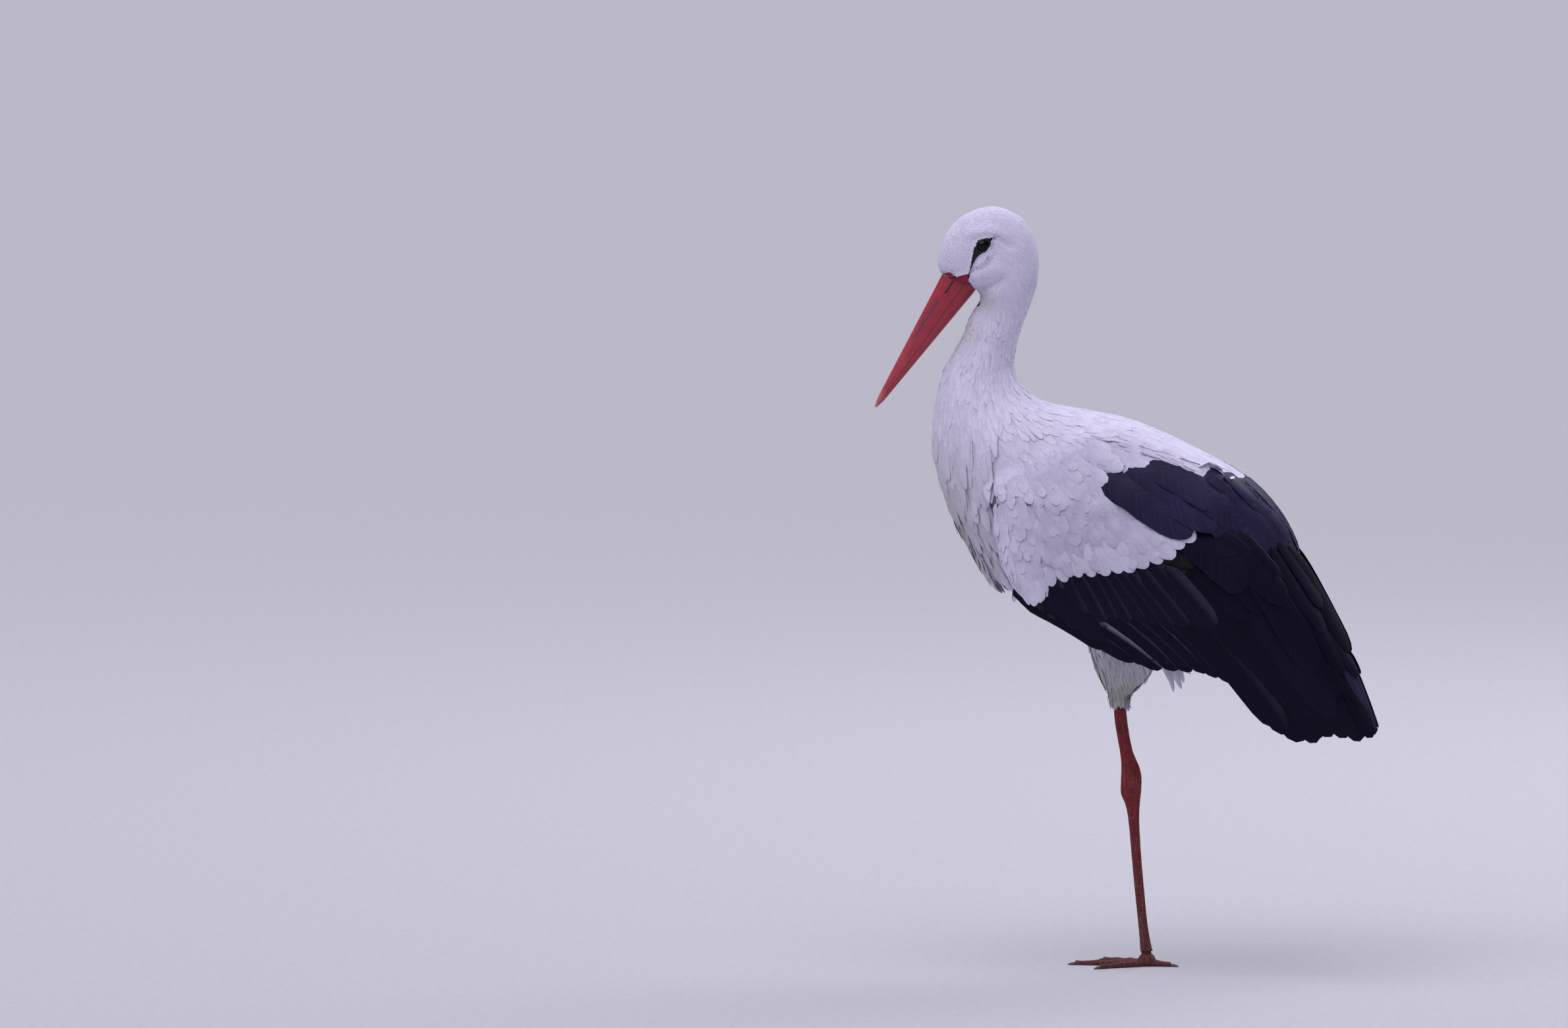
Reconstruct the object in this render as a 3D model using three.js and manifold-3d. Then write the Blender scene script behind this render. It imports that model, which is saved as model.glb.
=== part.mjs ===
// A white stork (Ciconia ciconia), life size and still, resting on its left leg with the right one drawn up.
// Millimetres. +Z is up, the bill points to -X and the bird's left side is -Y. The origin is the middle of the
// standing foot's sole, on the floor.
import * as THREE from "three";
import { mergeVertices } from "three/addons/utils/BufferGeometryUtils.js";
import Module from "manifold-3d";

const wasm = await Module();
wasm.setup();

// ---- Driving dimensions -------------------------------------------------------------------------------------

const GAP = 0.3; // clearance between neighbouring pieces that meet end to end
const CLEAR = 0.7; // how much larger a piece is made before its neighbour is cut away round it
const BODY_SIDES = 22; // corners of a rib of the body
const LEG_SIDES = 10;
const HEAD_TURN = THREE.MathUtils.degToRad(14); // the head looks this far round to the left
const TURN_AXIS = { x: -172, low: 690, high: 785 }; // the upright line it turns about, and where the neck twists
const EYE = { x: -201, z: 853.5, side: 21.3, radius: 7.6 };
const TOE = { inner: 58, middle: 78, outer: 66, hind: 22, width: 10, height: 9 };
const CLAW = { length: 9, width: 5.6, height: 3.6 };

// A rib is an oval across the body: its back corner x, z, its front or belly corner x, z, half its width, where
// its widest level lies between belly (0) and back (1), and how far its middle stands off the plane y = 0.
const rib = (backX, backZ, bellyX, bellyZ, half, widest = 0.5, y = 0) => ({
  back: new THREE.Vector3(backX, 0, backZ),
  belly: new THREE.Vector3(bellyX, 0, bellyZ),
  size: new THREE.Vector3(half, widest, y),
});

// From the bill over the crown, down the neck, round into the back and on to the rump.
const BODY = [
  rib(-247, 819, -205, 801, 13.5, 0.45), // 0, bill base
  rib(-252, 834, -202, 798, 17.5, 0.42),
  rib(-245, 860, -201, 796, 21, 0.46),
  rib(-224, 887, -199.5, 794, 24.5, 0.46),
  rib(-186, 899.5, -199, 791, 27, 0.5), // 4, crown
  rib(-152, 886, -199, 788.5, 28, 0.5),
  rib(-136, 860, -200, 786, 28, 0.5),
  rib(-131, 828, -203, 784, 27, 0.5),
  rib(-135, 800, -206, 780, 25.5), // 8, head meets neck
  rib(-145, 774, -214, 767, 24),
  rib(-154, 749, -219, 751, 25), // 10, slimmest
  rib(-160, 724, -232, 728, 28),
  rib(-159, 703, -247, 697, 34, 0.45), // 12, upper meets lower neck
  rib(-148, 685, -256, 656, 42, 0.45),
  rib(-130, 671, -256, 610, 53, 0.45),
  rib(-93, 662, -242, 564, 66, 0.47), // 15, neck meets trunk
  rib(-45, 654, -218, 520, 77, 0.5),
  rib(1, 640, -181, 476, 83, 0.52), // 17, shoulders
  rib(48, 618, -131, 447, 85, 0.52),
  rib(95, 595, -69, 418, 83, 0.52),
  rib(130, 568, -6, 391, 77, 0.52), // 20
  rib(157, 536, 56, 364, 66, 0.5),
  rib(174, 499, 103, 350, 50, 0.5),
  rib(184, 457, 138, 341, 32, 0.5), // 23, rump
  rib(192, 411, 165, 333, 16, 0.5),
];
const HEAD_END = 8;
const NECK_MIDDLE = 12;
const NECK_END = 15;
const BODY_END = BODY.length - 1;

const BILL_LENGTH = 178;
const BREAST_PLUME = [
  rib(-206, 652, -238, 652, 24),
  rib(-190, 614, -250, 616, 40),
  rib(-176, 570, -249, 576, 50),
  rib(-166, 530, -232, 537, 47),
  rib(-156, 503, -214, 504, 37),
  rib(-151, 480, -202, 480, 27),
  rib(-152, 460, -192, 461, 16),
  rib(-158, 446, -178, 446, 7),
];
const TAIL = [
  rib(128, 462, 112, 446, 20),
  rib(160, 422, 144, 409, 27),
  rib(192, 378, 179, 368, 29),
  rib(222, 334, 213, 327, 29),
  rib(246, 297, 240, 292, 26),
  rib(254, 282, 250, 279, 20),
];

// A wing rib is an arch over the flank: its upper edge x, z, its lower edge x, z, how far it stands out from
// y = 0 at its middle, and what share of that its upper edge keeps.
const wingRib = (topX, topZ, lowX, lowZ, out, upper) => ({
  back: new THREE.Vector3(topX, 0, topZ),
  belly: new THREE.Vector3(lowX, 0, lowZ),
  size: new THREE.Vector3(out, upper, 0),
});
const WING = [
  wingRib(-168, 597, -178, 554, 69, 0.88), // 0, bend of the wing
  wingRib(-127, 619, -164, 503, 86, 0.73),
  wingRib(-82, 633, -143, 456, 94, 0.66),
  wingRib(-34, 632, -108, 420, 98, 0.61),
  wingRib(13, 621, -68, 401, 99, 0.58), // 4
  wingRib(60, 599, -22, 377, 97, 0.53),
  wingRib(104, 577, 33, 361, 92, 0.45),
  wingRib(142, 550, 80, 353, 85, 0.34), // 7
  wingRib(168, 516, 121, 338, 76, 0.24),
  wingRib(190, 476, 145, 315, 66, 0.14),
  wingRib(216, 430, 164, 291, 57, 0.09), // 10
  wingRib(239, 387, 184, 277, 49, 0.08),
  wingRib(255, 348, 210, 272, 42, 0.08),
  wingRib(267, 313, 236, 275, 35, 0.09),
  wingRib(272, 287, 258, 270, 28, 0.13), // 14, tip
];
const WING_SPLIT = 6; // the covert-clad arm in front of this rib, the long flight feathers behind it
const WING_LOWER = 0.82; // share of the arch's reach that its lower edge keeps
const WING_THICK = { front: 17, rear: 7 };
const WING_CLEAR = 1.2; // the two wings keep this far from the plane y = 0

// The legs. Each rib runs from the rear of the leg to its front.
const THIGH_LEFT = [
  rib(52, 445, -76, 452, 27, 0.5, -33),
  rib(42, 405, -72, 402, 29, 0.5, -34),
  rib(25, 372, -64, 368, 25, 0.5, -32),
  rib(2, 346, -54, 345, 17, 0.5, -29),
  rib(-18, 326, -44, 326, 9.5, 0.5, -26),
];
const TIBIA_LEFT = [
  rib(-26, 332, -40, 332, 5.6, 0.5, -26.5),
  rib(-22, 290, -37.5, 290, 6, 0.5, -22),
  rib(-16, 256, -32, 257, 6.4, 0.5, -18.5),
  rib(-9, 240, -30.5, 240, 8, 0.5, -17),
  rib(-6, 228, -31, 226, 9.6, 0.5, -16),
  rib(-5.5, 218, -31.5, 214, 9.8, 0.5, -15.2),
];
const TARSUS_LEFT = [
  rib(-5.8, 218, -31.6, 214, 9.8, 0.5, -15.2),
  rib(-6.5, 207, -31, 205, 9.2, 0.5, -14.4),
  rib(-8, 195, -26.5, 195, 7, 0.5, -13.4),
  rib(-9, 178, -22.8, 178, 5.4, 0.5, -12.2),
  rib(-7.5, 140, -19.4, 140, 4.9, 0.5, -9.4),
  rib(-4, 95, -15.6, 95, 4.8, 0.5, -6.2),
  rib(0, 52, -11.4, 52, 4.9, 0.5, -3.2),
  rib(3.4, 30, -9.6, 30, 5.8, 0.5, -1.6),
  rib(6.2, 18, -9, 17, 7.4, 0.5, -0.6),
];
const THIGH_RIGHT = [
  rib(-18, 450, -62, 416, 26, 0.5, 42),
  rib(12, 436, -22, 400, 22, 0.5, 45),
  rib(38, 418, 16, 390, 17, 0.5, 48),
  rib(60, 400, 48, 380, 10.5, 0.5, 49),
];
const TIBIA_RIGHT = [
  rib(48, 397.5, 42, 384, 5.8, 0.5, 49),
  rib(68, 389, 62, 375.5, 6.2, 0.5, 50),
  rib(80, 386, 72, 367, 8.6, 0.5, 51),
  rib(92, 383, 80, 360, 9.6, 0.5, 52),
];
const TARSUS_RIGHT = [
  rib(80, 360, 92, 383, 9.6, 0.5, 52),
  rib(80.5, 358.5, 104, 370, 9.7, 0.5, 52),
  rib(80, 357, 103, 350, 9.8, 0.5, 52),
  rib(76, 360, 88, 342, 9.4, 0.5, 51.5),
  rib(64, 368, 69, 350, 8, 0.5, 50),
  rib(46, 370, 50, 356.5, 5.8, 0.5, 48),
  rib(0, 386, 4, 374, 5, 0.5, 42),
  rib(-50, 406, -46, 394, 4.9, 0.5, 36),
  rib(-92, 424, -88, 412, 5, 0.5, 31),
  rib(-106, 432, -100, 417, 6.6, 0.5, 29),
];
const FOOT_LEFT = { ball: [-1, 0, 7.5], spread: 1, curl: 0, turn: 0, at: [0, 0, 0] };
const FOOT_RIGHT = { ball: [3, 0, 2], spread: 0.34, curl: 35, turn: 198, at: [-108, 29, 415.5] };

const COLOURS = {
  plumage: [0xe9e6ec, 0.9],
  flight: [0x17161c, 0.55],
  bill: [0xb4303c, 0.4],
  leg: [0x8c2420, 0.6],
  claw: [0x2c2222, 0.5],
  eye: [0x0d0b0c, 0.08],
};

// ---- Making solids ------------------------------------------------------------------------------------------

const Y = new THREE.Vector3(0, 1, 0);

// A closed geometry from rings of equal length, each a list of points. Either end is closed by a fan, or, where a
// ring is a thin leaf whose first half is one face and second half the other, by a strip between the two.
function skinRings(rings, leaf = false) {
  const sides = rings[0].length;
  const points = rings.flat();
  const faces = [];
  for (let r = 0; r + 1 < rings.length; r++)
    for (let k = 0; k < sides; k++) {
      const a = r * sides + k;
      const b = r * sides + ((k + 1) % sides);
      faces.push([a, b, a + sides], [b, b + sides, a + sides]);
    }
  for (const last of [false, true]) {
    const ring = rings[last ? rings.length - 1 : 0];
    const middle = ring.reduce((sum, p) => sum.add(p), new THREE.Vector3()).divideScalar(sides);
    const start = last ? (rings.length - 1) * sides : 0;
    const caps = [];
    if (leaf)
      for (let k = 0; 2 * k < sides - 2; k++) {
        const far = sides - 1 - k;
        caps.push([k, k + 1, far], [k + 1, far - 1, far]);
      }
    else {
      points.push(middle);
      for (let k = 0; k < sides; k++) caps.push([points.length - 1 - start, k, (k + 1) % sides]);
    }
    for (const [a, b, c] of caps)
      faces.push(last ? [start + a, start + b, start + c] : [start + a, start + c, start + b]);
  }
  const normal = new THREE.Vector3();
  const volume = faces.reduce(
    (sum, [a, b, c]) => sum + normal.crossVectors(points[a], points[b]).dot(points[c]),
    0,
  );
  const outward = volume < 0 ? faces.map(([a, b, c]) => [a, c, b]) : faces;
  const flat = new Float32Array(points.flatMap((p) => [p.x, p.y, p.z]));
  return new THREE.BufferGeometry()
    .setAttribute("position", new THREE.BufferAttribute(flat, 3))
    .setIndex(outward.flat());
}

// Smooth curves through a list of ribs, read at any place between the first (0) and the last.
function through(ribs) {
  const curves = ["back", "belly", "size"].map(
    (key) => new THREE.CatmullRomCurve3(ribs.map((r) => r[key])),
  );
  return (place) => curves.map((c) => c.getPoint(place / (ribs.length - 1)));
}

const signedPower = (value, power) => Math.sign(value) * Math.abs(value) ** power;

// One oval section. grow makes it larger all round.
function oval([back, belly, size], sides, grow, floor, square) {
  const up = back.clone().sub(belly);
  const height = up.length() + 2 * grow;
  up.normalize();
  const middle = belly.clone().addScaledVector(up, size.y * (height - 2 * grow)).setY(size.z);
  const above = (1 - size.y) * (height - 2 * grow) + grow;
  const below = size.y * (height - 2 * grow) + grow;
  return Array.from({ length: sides }, (_, k) => {
    const turn = (2 * Math.PI * k) / sides;
    const rise = signedPower(Math.sin(turn), square);
    const out = signedPower(Math.cos(turn), square);
    const point = middle
      .clone()
      .addScaledVector(up, rise * (rise > 0 ? above : below))
      .addScaledVector(Y, out * (size.x + grow));
    point.z = Math.max(point.z, floor);
    return point;
  });
}

// The solid through ribs from place first to place last. Its ends draw back by inset, or stand out if it is below 0.
function ribbed(ribs, options = {}) {
  const { first = 0, last = ribs.length - 1, perRib = 2, sides = BODY_SIDES } = options;
  const { grow = 0, inset = 0, floor = -Infinity, square = 1 } = options;
  const at = through(ribs);
  const steps = Math.round((last - first) * perRib);
  const rings = [];
  for (let i = 0; i <= steps; i++) {
    const section = at(first + ((last - first) * i) / steps);
    const ring = oval(section, sides, grow, floor, square);
    const shift = (i === 0 ? 1 : 0) * inset - (i === steps ? 1 : 0) * inset;
    if (shift) {
      const along = section[0].clone().sub(section[1]).cross(Y).normalize();
      const ahead = at(Math.min(first + ((last - first) * (i + 1)) / steps, last));
      const behind = at(Math.max(first + ((last - first) * (i - 1)) / steps, first));
      const way = ahead[0].add(ahead[1]).sub(behind[0]).sub(behind[1]);
      along.multiplyScalar(Math.sign(along.dot(way)) * shift);
      ring.forEach((p) => p.add(along));
    }
    rings.push(ring);
  }
  return skinRings(rings);
}

// Reach of the wing's arch at v, from 0 at its upper edge to 1 at its lower edge.
function arch(v, upper) {
  const straight = THREE.MathUtils.lerp(upper, WING_LOWER, v);
  return straight + (1 - straight) * Math.sin(Math.PI * v) ** 0.8;
}

function wingBlade(side, first, last, inset) {
  const at = through(WING);
  const steps = (last - first) * 2;
  const across = 9;
  const rings = [];
  for (let i = 0; i <= steps; i++) {
    const place = first + ((last - first) * i) / steps;
    const [top, low, size] = at(place);
    const thick = THREE.MathUtils.lerp(WING_THICK.front, WING_THICK.rear, place / (WING.length - 1));
    const shift = (i === 0 && first > 0 ? inset : 0) - (i === steps && last < WING.length - 1 ? inset : 0);
    const face = (inward) =>
      Array.from({ length: across }, (_, k) => {
        const v = k / (across - 1);
        const rounded = inward * Math.min(1, 4 * Math.min(v, 1 - v) + 0.35);
        const reach = Math.max(size.x * arch(v, size.y) - rounded * thick, WING_CLEAR);
        return top.clone().lerp(low, v).add(new THREE.Vector3(shift * 0.8, side * reach, -shift * 0.6));
      });
    const ring = [...face(0), ...face(1).reverse()];
    rings.push(side < 0 ? ring : ring.reverse());
  }
  return skinRings(rings, true);
}

function toManifold(geometry) {
  const bare = geometry.clone();
  bare.deleteAttribute("normal");
  bare.deleteAttribute("uv");
  const merged = mergeVertices(bare, 1e-4);
  const mesh = new wasm.Mesh({
    numProp: 3,
    vertProperties: merged.attributes.position.array,
    triVerts: new Uint32Array(merged.index.array),
  });
  return new wasm.Manifold(mesh);
}

// The largest piece of a solid, as a geometry. Cuts can leave slivers beside it.
function toGeometry(solid) {
  const largest = solid.decompose().reduce((a, b) => (b.volume() > a.volume() ? b : a));
  const mesh = largest.simplify(0.05).getMesh();
  return new THREE.BufferGeometry()
    .setAttribute("position", new THREE.BufferAttribute(mesh.vertProperties, 3))
    .setIndex(new THREE.BufferAttribute(mesh.triVerts, 1));
}

const cut = (geometry, ...tools) =>
  toGeometry(tools.reduce((left, tool) => left.subtract(toManifold(tool)), toManifold(geometry)));

// Turns the head round, and twists the neck below it. The bill and eyes turn with the head.
function turned(geometry, whole = false) {
  const places = geometry.attributes.position;
  const p = new THREE.Vector3();
  for (let i = 0; i < places.count; i++) {
    p.fromBufferAttribute(places, i);
    const share = whole ? 1 : THREE.MathUtils.smoothstep(p.z, TURN_AXIS.low, TURN_AXIS.high);
    p.x -= TURN_AXIS.x;
    p.applyAxisAngle(new THREE.Vector3(0, 0, 1), share * HEAD_TURN);
    places.setXYZ(i, p.x + TURN_AXIS.x, p.y, p.z);
  }
  return geometry;
}

const bird = new THREE.Group();

function add(name, geometry, finish, parent = bird) {
  const [color, roughness] = COLOURS[finish];
  const material = new THREE.MeshStandardMaterial({ color, roughness, metalness: 0 });
  const mesh = new THREE.Mesh(geometry, material);
  mesh.name = name;
  parent.add(mesh);
  return mesh;
}

// ---- Head and bill ------------------------------------------------------------------------------------------

const eyeBall = (side, radius) =>
  new THREE.SphereGeometry(radius, 12, 9).translate(EYE.x, side * EYE.side, EYE.z);

const head = ribbed(BODY, { last: HEAD_END, inset: GAP / 2 });
add("head", turned(cut(head, eyeBall(-1, EYE.radius + GAP), eyeBall(1, EYE.radius + GAP)), true), "plumage");
add("eye_left", turned(eyeBall(-1, EYE.radius), true), "eye");
add("eye_right", turned(eyeBall(1, EYE.radius), true), "eye");

// The bill tapers from the head's first rib to its tip. Its two halves meet along the gape, a flat face each.
function mandible(upper) {
  const base = BODY[0];
  const along = new THREE.Vector3(-0.56, 0, -0.829).multiplyScalar(BILL_LENGTH);
  const ribs = [0, 0.12, 0.28, 0.46, 0.64, 0.82, 0.94, 1].map((share) => {
    const depth = 1 - 0.866 * share;
    const blunt = share === 1 ? 0.45 : 1;
    const culmen = base.back.clone().lerp(base.belly, 0.02);
    const gonys = base.belly.clone();
    const centre = culmen.clone().lerp(gonys, 0.5);
    const shrink = (p) => p.sub(centre).multiplyScalar(depth * blunt).add(centre).addScaledVector(along, share);
    const back = shrink(culmen);
    const belly = shrink(gonys);
    const gape = back.clone().lerp(belly, 0.62);
    const half = 12.6 * (1 - 0.86 * share ** 0.85) * blunt;
    const step = belly.clone().sub(back).normalize().multiplyScalar(GAP / 2);
    const [top, low] = upper ? [back, gape.sub(step)] : [gape.add(step), belly];
    return rib(top.x, top.z, low.x, low.z, half, upper ? 0 : 1);
  });
  return ribbed(ribs, { sides: 12, perRib: 1, inset: GAP / 2 });
}
add("bill_upper", turned(mandible(true), true), "bill");
add("bill_lower", turned(mandible(false), true), "bill");

// ---- Neck and trunk -----------------------------------------------------------------------------------------

const neckOptions = { inset: GAP / 2 };
add("neck_upper", turned(ribbed(BODY, { ...neckOptions, first: HEAD_END, last: NECK_MIDDLE })), "plumage");
const neckLower = ribbed(BODY, { ...neckOptions, first: NECK_MIDDLE, last: NECK_END });
add("neck_lower", turned(neckLower), "plumage");

const trunkShape = (grow) => ribbed(BODY, { first: NECK_END, last: BODY_END, inset: GAP / 2 - grow, grow });
const neckShape = ribbed(BODY, { first: NECK_MIDDLE - 1, last: NECK_END, inset: -CLEAR, grow: CLEAR });
const legShape = (ribs, grow) => ribbed(ribs, { sides: LEG_SIDES, inset: grow ? -grow : GAP / 2, grow });

add("trunk", cut(trunkShape(0), legShape(THIGH_RIGHT, CLEAR)), "plumage");
add("breast_plume", cut(ribbed(BREAST_PLUME, { perRib: 1 }), trunkShape(CLEAR), neckShape), "plumage");
add("tail", cut(ribbed(TAIL, { sides: 12 }), trunkShape(CLEAR)), "plumage");

// ---- Wings --------------------------------------------------------------------------------------------------

const tuckedLeg = [THIGH_RIGHT, TIBIA_RIGHT, TARSUS_RIGHT].map((ribs) => legShape(ribs, CLEAR));
const standingThigh = legShape(THIGH_LEFT, CLEAR);
const flesh = [trunkShape(CLEAR), neckShape, ribbed(BREAST_PLUME, { perRib: 1, grow: CLEAR })];
for (const [name, side] of [["left", -1], ["right", 1]]) {
  const tools = [...flesh, ...(side < 0 ? [standingThigh] : tuckedLeg)];
  const arm = wingBlade(side, 0, WING_SPLIT, GAP / 2);
  const quills = wingBlade(side, WING_SPLIT, WING.length - 1, GAP / 2);
  add(`wing_${name}_arm`, cut(arm, ...tools), "plumage");
  add(`wing_${name}_quills`, cut(quills, ...tools), "flight");
}

// ---- Legs ---------------------------------------------------------------------------------------------------

add("thigh_left", cut(legShape(THIGH_LEFT, 0), trunkShape(CLEAR), legShape(TIBIA_LEFT, CLEAR)), "plumage");
add("thigh_right", cut(legShape(THIGH_RIGHT, 0), legShape(TIBIA_RIGHT, CLEAR)), "plumage");
add("tibia_left", legShape(TIBIA_LEFT, 0), "leg");
add("tibia_right", legShape(TIBIA_RIGHT, 0), "leg");
add("tarsus_left", legShape(TARSUS_LEFT, 0), "leg");
add("tarsus_right", cut(legShape(TARSUS_RIGHT, 0), legShape(TIBIA_RIGHT, CLEAR)), "leg");

// A toe lies along -X from its root, flat underneath, with a swelling at each of its knuckles.
function toe(length, knuckles) {
  const stations = 3 * knuckles;
  const ribs = Array.from({ length: stations + 1 }, (_, i) => {
    const share = i / stations;
    const swell = (1 - 0.42 * share) * (1 + 0.1 * Math.cos(2 * Math.PI * knuckles * share));
    const height = TOE.height * swell;
    const x = -length * share;
    return rib(x, height, x, -0.12 * height, (TOE.width / 2) * swell, 0.45);
  });
  return ribbed(ribs, { perRib: 1, sides: 8, floor: 0 });
}

function claw() {
  const { length, width, height } = CLAW;
  const ribs = [0, 0.4, 0.8, 1].map((share) => {
    const top = height * (1.05 - 0.7 * share * share);
    const half = (width / 2) * Math.sqrt(1 - 0.9 * share * share);
    return rib(-length * share, top, -length * share, -0.1, half, 0.4);
  });
  return ribbed(ribs, { perRib: 1, sides: 6, floor: 0 });
}

const TOES = {
  inner: { yaw: 36, from: 6, knuckles: 2 },
  middle: { yaw: 0, from: 8, knuckles: 3 },
  outer: { yaw: -38, from: 6, knuckles: 3 },
  hind: { yaw: 174, from: 6, knuckles: 1 },
};

// The ball of a foot with its four toes, and the claws in front of them. The inner toe lies towards the other leg.
function foot(side, mirrored, { ball, spread, curl, turn, at }, tarsus) {
  const place = new THREE.Matrix4()
    .makeRotationY(THREE.MathUtils.degToRad(turn))
    .setPosition(new THREE.Vector3(...at));
  const knob = new THREE.SphereGeometry(1, 12, 8).scale(10.5, 9, 9.5).translate(...ball);
  const heights = knob.attributes.position;
  for (let i = 0; i < heights.count; i++) heights.setZ(i, Math.max(heights.getZ(i), turn ? -20 : 0));
  let whole = toManifold(knob);
  for (const [name, { yaw, from, knuckles }] of Object.entries(TOES)) {
    const hind = name === "hind";
    const pose = (geometry, distance) =>
      geometry
        .translate(-distance, 0, 0)
        .rotateY(THREE.MathUtils.degToRad(hind ? -curl : 0))
        .rotateZ(THREE.MathUtils.degToRad(yaw * (hind ? 1 : spread) * mirrored));
    whole = whole.add(toManifold(pose(toe(TOE[name], knuckles), from)));
    const nail = pose(claw(), from + TOE[name] + GAP).applyMatrix4(place);
    add(`claw_${side}_${name}`, nail, "claw");
  }
  add(`foot_${side}`, cut(toGeometry(whole).applyMatrix4(place), legShape(tarsus, CLEAR)), "leg");
}
foot("left", 1, FOOT_LEFT, TARSUS_LEFT);
foot("right", -1, FOOT_RIGHT, TARSUS_RIGHT);

export default bird;
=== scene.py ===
# %% [markdown]
# # A white stork, standing on one leg
#
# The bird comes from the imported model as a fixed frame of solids, at life size. This notebook gives it its looks:
# one skin under the whole bird, a coat of feathers laid over that skin tract by tract, a horn bill, eyes, nails,
# and the scaly red legs. Everything is in metres, in the frame's own axes: the bird faces -X and +Z is up.

# %% Load the frame
import math

import bmesh
import bpy
import numpy as np
from mathutils import Matrix, Vector, noise
from mathutils.bvhtree import BVHTree


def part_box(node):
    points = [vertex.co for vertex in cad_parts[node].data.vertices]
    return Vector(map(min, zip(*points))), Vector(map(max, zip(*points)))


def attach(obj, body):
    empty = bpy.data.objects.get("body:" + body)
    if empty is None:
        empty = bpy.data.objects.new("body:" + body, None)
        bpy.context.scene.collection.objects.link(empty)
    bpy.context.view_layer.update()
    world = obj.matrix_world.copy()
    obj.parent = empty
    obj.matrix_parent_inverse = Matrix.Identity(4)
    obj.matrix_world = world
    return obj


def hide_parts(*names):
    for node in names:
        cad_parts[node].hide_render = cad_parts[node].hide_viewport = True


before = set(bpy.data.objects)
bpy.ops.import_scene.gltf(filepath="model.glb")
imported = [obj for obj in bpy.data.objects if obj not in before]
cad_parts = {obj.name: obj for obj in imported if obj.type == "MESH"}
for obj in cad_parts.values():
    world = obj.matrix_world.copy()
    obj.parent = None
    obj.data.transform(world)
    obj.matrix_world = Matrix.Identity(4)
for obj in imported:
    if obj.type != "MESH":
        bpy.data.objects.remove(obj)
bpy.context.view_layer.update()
bpy.ops.object.select_all(action="DESELECT")

# %% [markdown]
# ## Camera
#
# A long lens from a low standpoint, eight degrees ahead of square to the bird's left side. A wildlife lens is
# long, so the camera stands twelve metres off and there is almost no perspective.

# %% Camera
VIEW_TURN = math.radians(8)
VIEW_RISE = math.radians(4)
VIEW_DISTANCE = 12.0
FRAME_WIDTH = 1.8564

right = Vector((math.cos(VIEW_TURN), math.sin(VIEW_TURN), 0))
toward = Vector((right.y * math.cos(VIEW_RISE), -right.x * math.cos(VIEW_RISE), math.sin(VIEW_RISE)))
up = toward.cross(right)
middle = right * -0.4306 + up * 0.5351

bpy.ops.object.camera_add()
camera = bpy.context.object
camera.data.lens = camera.data.sensor_width * VIEW_DISTANCE / FRAME_WIDTH
camera.data.clip_end = 200
turn = Matrix((right, up, toward)).transposed().to_4x4()
camera.matrix_world = Matrix.Translation(middle + toward * VIEW_DISTANCE) @ turn
bpy.context.scene.camera = camera
print("camera at", tuple(round(c, 2) for c in camera.location))

# %% [markdown]
# ## Colours and nodes
#
# Colours are written as sRGB hex, the way a paint chart gives them, and turned to linear light in one place.
# One small function adds a node with its settings and its links, so each material reads as a short recipe.

# %% Colour and node helpers
def colour(code):
    """An sRGB hex colour as linear red, green, blue and a full alpha."""
    parts = [int(code[i : i + 2], 16) / 255 for i in (1, 3, 5)]
    return tuple(p / 12.92 if p <= 0.04045 else ((p + 0.055) / 1.055) ** 2.4 for p in parts) + (1.0,)


def fill(node, values):
    """Fills a node's sockets, with hex for a colour. Another node is linked by the first output it has in use."""
    for key, value in values.items():
        if isinstance(value, bpy.types.Node):
            value = next(socket for socket in value.outputs if socket.enabled)
        if isinstance(value, bpy.types.NodeSocket):
            node.id_data.links.new(value, node.inputs[key])
        else:
            node.inputs[key].default_value = colour(value) if isinstance(value, str) else value


def add(tree, kind, values=None, stops=None, **settings):
    """Adds a node with its settings. values fills its sockets, and stops are a ramp's, in hex or as a share of 1."""
    node = tree.nodes.new("ShaderNode" + kind)
    for name, value in settings.items():
        setattr(node, name, value)
    fill(node, values or {})
    if stops:
        ramp = node.color_ramp
        while len(ramp.elements) < len(stops):
            ramp.elements.new(0.5)
        for element, (place, shade) in zip(ramp.elements, stops):
            element.position = place
            element.color = colour(shade) if isinstance(shade, str) else (shade, shade, shade, 1)
    return node


def new_material(name):
    """An empty material, its tree, and its shader, which is joined to the output."""
    material = bpy.data.materials.new(name)
    material.use_nodes = True
    tree = material.node_tree
    tree.nodes.clear()
    shader = add(tree, "BsdfPrincipled")
    add(tree, "OutputMaterial", {"Surface": shader})
    return material, tree, shader


# A Mix node's two colours are its sockets 6 and 7, and MULTIPLY is the setting that multiplies them.
FIRST, SECOND = 6, 7
BLEND = {"data_type": "RGBA"}
MULTIPLY = {"data_type": "RGBA", "blend_type": "MULTIPLY"}
KERATIN_IOR = 1.54

# %% [markdown]
# ## Studio
#
# A pale floor that runs far back, and soft light as from a bright overcast sky: one very broad light overhead and a
# little in front, a weak panel behind, and an even, slightly cool surround that fills the shade.

# %% Floor and light
bpy.ops.mesh.primitive_circle_add(vertices=64, radius=60, fill_type="NGON", location=(0, 0, 0))
floor = bpy.context.object
floor.name = "studio_floor"
paper, tree, shader = new_material("matt_studio_paper")
grain = add(tree, "TexNoise", {"Vector": add(tree, "TexCoord").outputs["Object"], "Scale": 90.0, "Detail": 3.0})
tone = add(tree, "ValToRGB", {"Fac": grain}, stops=[(0.3, "#BFBEC4"), (0.7, "#C5C4CA")])
fill(shader, {"Base Color": tone, "Roughness": 0.9})
floor.data.materials.append(paper)


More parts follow.
